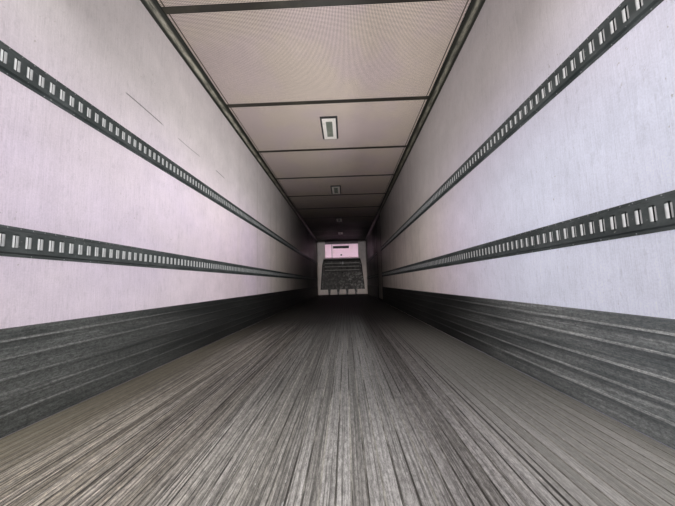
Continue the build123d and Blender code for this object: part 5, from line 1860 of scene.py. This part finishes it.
@dataclass
class RearDoor:
    """Finishes and fittings of one rear door, drawn closed on the right and turned open about its pin."""

    side: Side
    left: float = 0.012
    right: float = 1.218
    low: float = 0.219
    high: float = 2.825
    face: float = -8.077
    back: float = -8.002
    pin: Span = (1.298, -8.147)
    strip: float = 0.045
    bevel: float = 0.018
    hinges: int = 4
    hinge_end: float = 0.180
    leaf_bolts: tuple[float, ...] = (0.022, 0.075, 0.128)
    leaf_face: float = -8.086
    guides: int = 3
    guide_end: float = 0.300
    guide_bolt: float = 0.0288
    guide_face: float = -8.083
    tape_inset: float = 0.06
    tape_up: Span = (0.300, 0.350)
    rod_y: float = -8.111
    rods: tuple[tuple[float, float, int], ...] = ((0.215, 1.182, 1), (0.975, 1.312, -1))
    grip: Grip = Grip(9, 0.120)
    sleeve: Grip = Grip(1, 0.118, 0.182, half_depth=0.007, half_height=0.019, soft=0.003)

    @property
    def name(self) -> str:
        """The door's body, which also starts its nodes' names."""
        return RIGHT_DOOR if self.side is Side.RIGHT else LEFT_DOOR

    def opened(self, p: np.ndarray) -> np.ndarray:
        """Points folded back: X = pin X + y - pin Y, Y = pin Y - x + pin X, mirrored for the left door."""
        x = self.side.value * (self.pin[0] + p[:, 1] - self.pin[1])
        return np.stack((x, self.pin[1] - p[:, 0] + self.pin[0], p[:, 2]), axis=-1)

    def lay(self, name: str, shape: Shape, finish: Finish, smooth: bool = False) -> None:
        """Puts a shape that is drawn on the closed right door on this door, folded back."""
        laid = shape.mapped(self.opened).flipped(self.side is Side.LEFT)
        put(f"{name}_{self.side.tag}", laid, finish, self.name, smooth)

    def border(self, left: float, rear: float, front: float) -> Shape:
        """Four flat strips round the panel's edge, between two planes."""
        across, up = (left, self.right - 0.001), (self.low + 0.001, self.high - 0.001)
        return border(across, up, self.strip, lambda x, z: (x, rear, z), lambda x, z: (x, front, z))

    def rivets(self, left: float, y: float, axis: str) -> Shape:
        """Rivets along the middle of the border strips, in their face and pointing along an axis."""
        inset = self.strip / 2
        return BORDER_RIVETS.rectangle(
            (left + inset, self.right - inset), (self.low + inset, self.high - inset),
            lambda x, z: (x, y, z), axis)

    def build(self) -> None:
        """Dresses the door's nodes, then adds borders, rivets, bolts, grips and tape."""
        dress(OUTER_WHITE, f"{self.name}_panel")
        dress(RUBBER, f"{self.name}_seal")
        dress(ZINC, f"{self.name}_hardware")
        outer, inner = self.face - BORDER_SHEET, self.back + BORDER_SHEET
        inner_left = self.left + self.bevel
        borders = [self.border(self.left + 0.001, outer, self.face + BORDER_SINK),
                   self.border(inner_left, self.back - BORDER_SINK, inner)]
        self.lay("rear_door_border", Shape.joined(borders), ALUMINIUM)
        heads = [self.rivets(self.left, outer, "-Y"), self.rivets(inner_left, inner, "+Y")]
        self.lay("rear_door_rivets", Shape.joined(heads), ALUMINIUM, smooth=True)
        self.bolts()
        self.grips()
        left, right, (low, high) = self.left + self.tape_inset, self.right - self.tape_inset, self.tape_up
        tape = slab((left, self.face - 0.0012, low), (right, self.face + 0.001, high), 0.0005)
        self.lay("rear_door_tape", tape, TAPE)

    def bolts(self) -> None:
        """Carriage bolts through each hinge leaf, seen on both faces, and bolts in the rod guides' feet."""
        hinges = np.linspace(self.low + self.hinge_end, self.high - self.hinge_end, self.hinges)
        guides = np.linspace(self.low + self.guide_end, self.high - self.guide_end, self.guides)
        places = [(self.right - inset, z) for z in hinges for inset in self.leaf_bolts]
        outside = [(x, self.leaf_face, z) for x, z in places]
        inside = [(x, self.back + BORDER_SHEET, z) for x, z in places]
        feet = [(x + shift, self.guide_face, z)
                for x, _, _ in self.rods for z in guides for shift in (-self.guide_bolt, self.guide_bolt)]
        shapes = [
            dome(0.012, 0.006, 12).mapped(turned_to("-Y")).repeated(outside),
            bolt_head(0.011, 0.007).mapped(turned_to("+Y")).repeated(inside),
            bolt_head(0.007, 0.0045).mapped(turned_to("-Y")).repeated(feet),
        ]
        self.lay("rear_door_bolts", Shape.joined(shapes), ZINC)

    def grips(self) -> None:
        """A ribbed rubber sleeve on each handle."""
        blocks = []
        for x, z, way in self.rods:
            for grip in (self.grip, self.sleeve):
                y0, y1 = self.rod_y - grip.half_depth, self.rod_y + grip.half_depth
                z0, z1 = z - grip.half_height, z + grip.half_height
                for reach in grip.reaches():
                    x0, x1 = sorted(x + way * distance for distance in reach)
                    blocks.append(slab((x0, y0, z0), (x1, y1, z1), grip.soft))
        self.lay("rear_door_grips", Shape.joined(blocks), RUBBER)


@dataclass
class SideDoor:
    """Finishes and fittings of the side door."""

    face: float = 1.298
    back: float = 1.2465
    rear: float = 2.072
    front: float = 3.138
    low: float = 0.219
    high: float = 2.785
    strip: float = 0.040
    strip_inset: float = 0.008
    hinges: int = 3
    hinge_end: float = 0.18
    leaf_bolts: tuple[float, ...] = (0.020, 0.060, 0.100)
    leaf_face: float = 1.304
    guides: int = 3
    guide_end: float = 0.33
    guide_bolt: float = 0.0243
    rod_x: float = 1.316
    rod_y: float = 2.208
    handle_z: float = 0.822
    grip: Grip = Grip(6, 0.075)

    def border(self, near: float, far: float) -> Shape:
        """Four flat strips round the panel's edge, between two distances from the body's middle."""
        across = (self.rear + self.strip_inset, self.front - self.strip_inset)
        return border(across, (self.low + 0.001, self.high - 0.001), self.strip,
                      lambda y, z: (near, y, z), lambda y, z: (far, y, z))

    def build(self) -> None:
        """Dresses the door's nodes, then adds borders, rivets, bolts and a grip."""
        dress(WALLS, "side_door_panel")
        dress(RUBBER, "side_door_seal")
        dress(ZINC, "side_door_hardware")
        outer = self.border(self.face - BORDER_SINK, self.face + BORDER_SHEET)
        put("side_door_border", outer, ALUMINIUM, SIDE_DOOR, smooth=False)
        inner = self.border(self.back - 0.0012, self.back + BORDER_SINK)
        put("side_door_inner_border", inner, RUBBER, SIDE_DOOR, smooth=False)
        self.rivets()
        self.bolts()
        self.sleeve()

    def rivets(self) -> None:
        """Rivets along the middle of the outer strips."""
        inset = self.strip / 2 + self.strip_inset
        across = (self.rear + inset, self.front - inset)
        up = (self.low + inset - 0.007, self.high - inset + 0.007)
        face = self.face + BORDER_SHEET
        heads = BORDER_RIVETS.rectangle(across, up, lambda y, z: (face, y, z), "+X")
        put("side_door_rivets", heads, ALUMINIUM, SIDE_DOOR)

    def bolts(self) -> None:
        """Bolts in the hinge leaves and in the feet of the rod guides."""
        hinges = np.linspace(self.low + self.hinge_end, self.high - self.hinge_end, self.hinges)
        guides = np.linspace(self.low + self.guide_end, self.high - self.guide_end, self.guides)
        places = [(self.leaf_face, self.front - inset, z) for z in hinges for inset in self.leaf_bolts]
        places += [(self.leaf_face, self.rod_y + shift, z)
                   for z in guides for shift in (-self.guide_bolt, self.guide_bolt)]
        heads = bolt_head(0.008, 0.005).mapped(turned_to("+X")).repeated(places)
        put("side_door_bolts", heads, ZINC, SIDE_DOOR, smooth=False)

    def sleeve(self) -> None:
        """A ribbed rubber sleeve on the handle."""
        x0, x1 = self.rod_x - self.grip.half_depth, self.rod_x + self.grip.half_depth
        z0, z1 = self.handle_z - self.grip.half_height, self.handle_z + self.grip.half_height
        ribs = [slab((x0, self.rod_y + start, z0), (x1, self.rod_y + end, z1), self.grip.soft)
                for start, end in self.grip.reaches()]
        put("side_door_grip", ribs, RUBBER, SIDE_DOOR, smooth=False)


@dataclass
class CoolingUnit:
    """Finishes and fittings of the cooling unit."""

    face: float = 8.637
    side: float = 0.975
    low: float = 0.760
    high: float = 2.715
    window_half: float = 0.845
    door_low: float = 0.896
    door_high: float = 1.794
    divider: float = 1.830
    screw: RivetRows = RivetRows(0.007, 0.003)
    hinge_screw: RivetRows = RivetRows(0.005, 0.0022)
    head_screws: float = 2.735
    screw_pitch: float = 0.21
    uprights: tuple[tuple[float, Span, float], ...] = (
        (0.045, (0.92, 1.78), 0.21), (0.020, (1.88, 2.70), 0.20))
    seam_depth: Span = (0.001, 0.0008)
    seam_half: float = 0.003
    seam_along: Span = (8.095, 8.51)
    seam_upright: Span = (8.30, 8.306)
    latch_x: float = 0.052
    latch_end: float = 0.085
    cup_radius: float = 0.024
    bar_half: Span = (0.016, 0.0035)
    hinge_inset: float = 0.036
    hinge_end: float = 0.12
    hinge_pitch: float = 0.13

    def build(self) -> None:
        """Dresses the housing, doors, grille and engine, then adds screws, seams and latches."""
        dress(UNIT, "unit_housing", "unit_door_right", "unit_door_left")
        dress(GRILLE, "unit_grille")
        dress(ENGINE, "unit_engine")
        self.screws()
        self.side_seams()
        for side in (Side.RIGHT, Side.LEFT):
            self.latches(side)

    def screws(self) -> None:
        """Screws round the openings of the housing's front."""
        face, edge = self.face, self.window_half
        levels = (self.door_low - 0.022, self.divider, self.head_screws)
        lines = [((-edge, face, z), (edge, face, z), self.screw_pitch) for z in levels]
        for outside, (low, high), pitch in self.uprights:
            lines += [((x, face, low), (x, face, high), pitch) for x in (-edge - outside, edge + outside)]
        put("unit_screws", self.screw.rows(lines, "+Y"), ZINC, BOX)

    def side_seams(self) -> None:
        """A level and an upright seam on each side of the housing."""
        x = (self.side - self.seam_depth[0], self.side + self.seam_depth[1])
        level = (self.divider - self.seam_half, self.divider + self.seam_half)
        seams = []
        for sign in (-1, 1):
            seams.append(side_slab(sign, x, self.seam_along, level, 0.0003))
            seams.append(side_slab(sign, x, self.seam_upright, (self.low + 0.03, self.high), 0.0003))
        put("unit_side_seams", seams, RUBBER, BOX, smooth=False)

    def latches(self, side: Side) -> None:
        """Two quarter-turn latches with a keyed bar on one door, and a row of hinge screws.

        Args:
            side: The door's side.
        """
        face, body = self.face, f"unit_door_{side.tag}"
        x, (half_x, half_z) = side.value * self.latch_x, self.bar_half
        cups, bars = [], []
        for z in (self.door_low + self.latch_end, self.door_high - self.latch_end):
            cups.append(rod((x, face - 0.003, z), (x, face + 0.006, z), self.cup_radius, 24, 0.003))
            low, high = (x - half_x, face + 0.005, z - half_z), (x + half_x, face + 0.010, z + half_z)
            bars.append(slab(low, high, 0.0015))
        put(f"unit_latch_cups_{side.tag}", cups, RUBBER, body)
        put(f"unit_latch_bars_{side.tag}", bars, ZINC, body, smooth=False)
        x = side.value * (self.window_half - self.hinge_inset)
        low, high = self.door_low + self.hinge_end, self.door_high - self.hinge_end
        line = ((x, face + 0.005, low), (x, face + 0.005, high), self.hinge_pitch)
        heads = self.hinge_screw.rows([line], "+Y")
        put(f"unit_hinge_screws_{side.tag}", heads, ZINC, body)


# Stage


@dataclass(frozen=True)
class Lamp:
    """An area lamp that no camera sees."""

    name: str
    place: Point
    towards: Point
    size: Span
    watts: float
    colour: Rgb = (1.0, 1.0, 1.0)
    spread: float = 180.0

    def build(self) -> None:
        """Adds the lamp, whose spread is the angle of its beam in degrees."""
        data = bpy.data.lights.new(self.name, "AREA")
        data.shape = "RECTANGLE"
        data.size, data.size_y = self.size
        data.energy = self.watts
        data.color = self.colour
        data.spread = math.radians(self.spread)
        lamp = bpy.data.objects.new(self.name, data)
        turn = (Vector(self.towards) - Vector(self.place)).to_track_quat("-Z", "Y")
        lamp.matrix_world = Matrix.Translation(self.place) @ turn.to_matrix().to_4x4()
        lamp.visible_camera = False
        bpy.context.scene.collection.objects.link(lamp)


@dataclass
class Studio:
    """The floor, the lamps, the world and the camera."""

    eye: Point = (0.1575, -6.725, 0.7845)
    yaw: float = 0.0250
    pitch: float = 0.1015
    roll: float = 0.0266
    focal_px: float = 293.5
    width_px: float = 675.0
    sensor: float = 36.0
    clip: Span = (0.02, 500.0)
    side_lamps: tuple[tuple[Side, float, float], ...] = (
        (Side.LEFT, -6.4, 4.0), (Side.LEFT, -5.2, 9.0), (Side.LEFT, -4.0, 10.5), (Side.LEFT, -2.8, 7.5),
        (Side.LEFT, -1.6, 4.0), (Side.RIGHT, -6.3, 1.5), (Side.RIGHT, -5.2, 12.5), (Side.RIGHT, -3.2, 4.0))
    side_lamp_x: float = 0.45
    side_lamp_z: float = 1.30
    side_lamp_size: Span = (1.2, 1.7)
    up_lamps: tuple[Span, ...] = ((-5.5, 3.5), (-3.5, 9.5))
    other_lamps: tuple[Lamp, ...] = (
        Lamp("floor_light", (0.0, -5.7, 2.3), (0.0, -5.7, 0.0), (2.2, 0.8), 6.0),
        Lamp("cover_light", (0.0, 7.0, 2.34), (0.0, 7.7, 2.34), (1.62, 0.66), 1.65,
             (1.0, 0.97, 0.98), 8.0),
        Lamp("front_wall_light", (0.0, 7.0, 1.52), (0.0, 7.8, 1.52), (2.42, 2.6), 3.2,
             (1.0, 0.93, 0.93), 8.0),
        Lamp("key_light", (16.0, -14.0, 16.0), (0.0, 0.0, 1.2), (9.0, 9.0), 3000.0),
        Lamp("front_light", (-12.0, 20.0, 10.0), (0.0, 4.0, 1.2), (9.0, 9.0), 1600.0))
    floor_reach: tuple[float, ...] = (0.01, 5.0, 20.0, 60.0, 120.0)
    floor_sides: int = 96
    world_light: float = 0.52
    world_seen: float = 0.95

    def floor(self) -> None:
        """A pale disc under the part: rings of growing radius in one plane."""
        reach = np.array(self.floor_reach)
        shape = lathe(reach, 0 * reach, self.floor_sides)
        mesh = bpy.data.meshes.new("stage_floor")
        mesh.from_pydata(shape.points.tolist(), [], shape.quads.tolist())
        mesh.materials.append(StageFloor("stage_floor").material())
        disc = bpy.data.objects.new("stage_floor", mesh)
        bpy.context.scene.collection.objects.link(disc)

    def lamps(self) -> None:
        """Soft upright panels in the rear of the load space, beams on the front wall, and lamps outside."""
        z, size = self.side_lamp_z, self.side_lamp_size
        for index, (side, y, watts) in enumerate(self.side_lamps):
            place = (-self.side_lamp_x * side.value, y, z)
            Lamp(f"wall_light_{index}", place, (side.value, y, z), size, watts).build()
        for index, (y, watts) in enumerate(self.up_lamps):
            Lamp(f"ceiling_light_{index}", (0.0, y, 1.0), (0.0, y, 3.0), (0.5, 1.2), watts).build()
        for lamp in self.other_lamps:
            lamp.build()

    def world(self) -> None:
        """Even pale light, nearly white to the camera, in reflections and through glass."""
        world = bpy.data.worlds.new("studio")
        world.use_nodes = True
        nodes, links = world.node_tree.nodes, world.node_tree.links
        ground = next(n for n in nodes if n.bl_idname == "ShaderNodeBackground")
        ground.inputs["Color"].default_value = (1.0, 1.0, 1.0, 1.0)
        path = nodes.new("ShaderNodeLightPath")
        seen = path.outputs["Is Camera Ray"]
        for ray in ("Is Glossy Ray", "Is Transmission Ray"):
            either = nodes.new("ShaderNodeMath")
            either.operation = "MAXIMUM"
            links.new(seen, either.inputs[0])
            links.new(path.outputs[ray], either.inputs[1])
            seen = either.outputs[0]
        strength = nodes.new("ShaderNodeMapRange")
        strength.inputs["To Min"].default_value = self.world_light
        strength.inputs["To Max"].default_value = self.world_seen
        links.new(seen, strength.inputs["Value"])
        links.new(strength.outputs[0], ground.inputs["Strength"])
        bpy.context.scene.world = world

    def camera(self) -> None:
        """The camera inside the load space, looking forward at the height of a pallet."""
        yaw, pitch, roll = self.yaw, self.pitch, self.roll
        level_reach = math.cos(pitch)
        forward = Vector((-math.sin(yaw) * level_reach, math.cos(yaw) * level_reach, math.sin(pitch)))
        level = Vector((math.cos(yaw), math.sin(yaw), 0.0))
        up = level.cross(forward)
        right = level * math.cos(roll) - up * math.sin(roll)
        top = level * math.sin(roll) + up * math.cos(roll)
        data = bpy.data.cameras.new("photo_camera")
        data.sensor_width = self.sensor
        data.lens = self.focal_px / self.width_px * self.sensor
        data.clip_start, data.clip_end = self.clip
        camera = bpy.data.objects.new("photo_camera", data)
        turn = Matrix((right, top, -forward)).transposed().to_4x4()
        camera.matrix_world = Matrix.Translation(self.eye) @ turn
        bpy.context.scene.collection.objects.link(camera)
        bpy.context.scene.camera = camera

    def build(self) -> None:
        """Makes the camera first, then the rest of the stage."""
        self.camera()
        self.floor()
        self.lamps()
        self.world()
        bpy.context.scene.view_settings.view_transform = "Standard"


def main() -> None:
    """Builds the stage and every sub-assembly in order."""
    logging.basicConfig(level=logging.INFO, format="%(name)s: %(message)s")
    for assembly in (
        Studio(), LoadSpace(), FrontFittings(), OuterShell(), RearEnd(), RearDoor(Side.RIGHT),
        RearDoor(Side.LEFT), SideDoor(), CoolingUnit(),
    ):
        assembly.build()
        log.info("%s done", type(assembly).__name__)


if __name__ == "__main__":
    main()
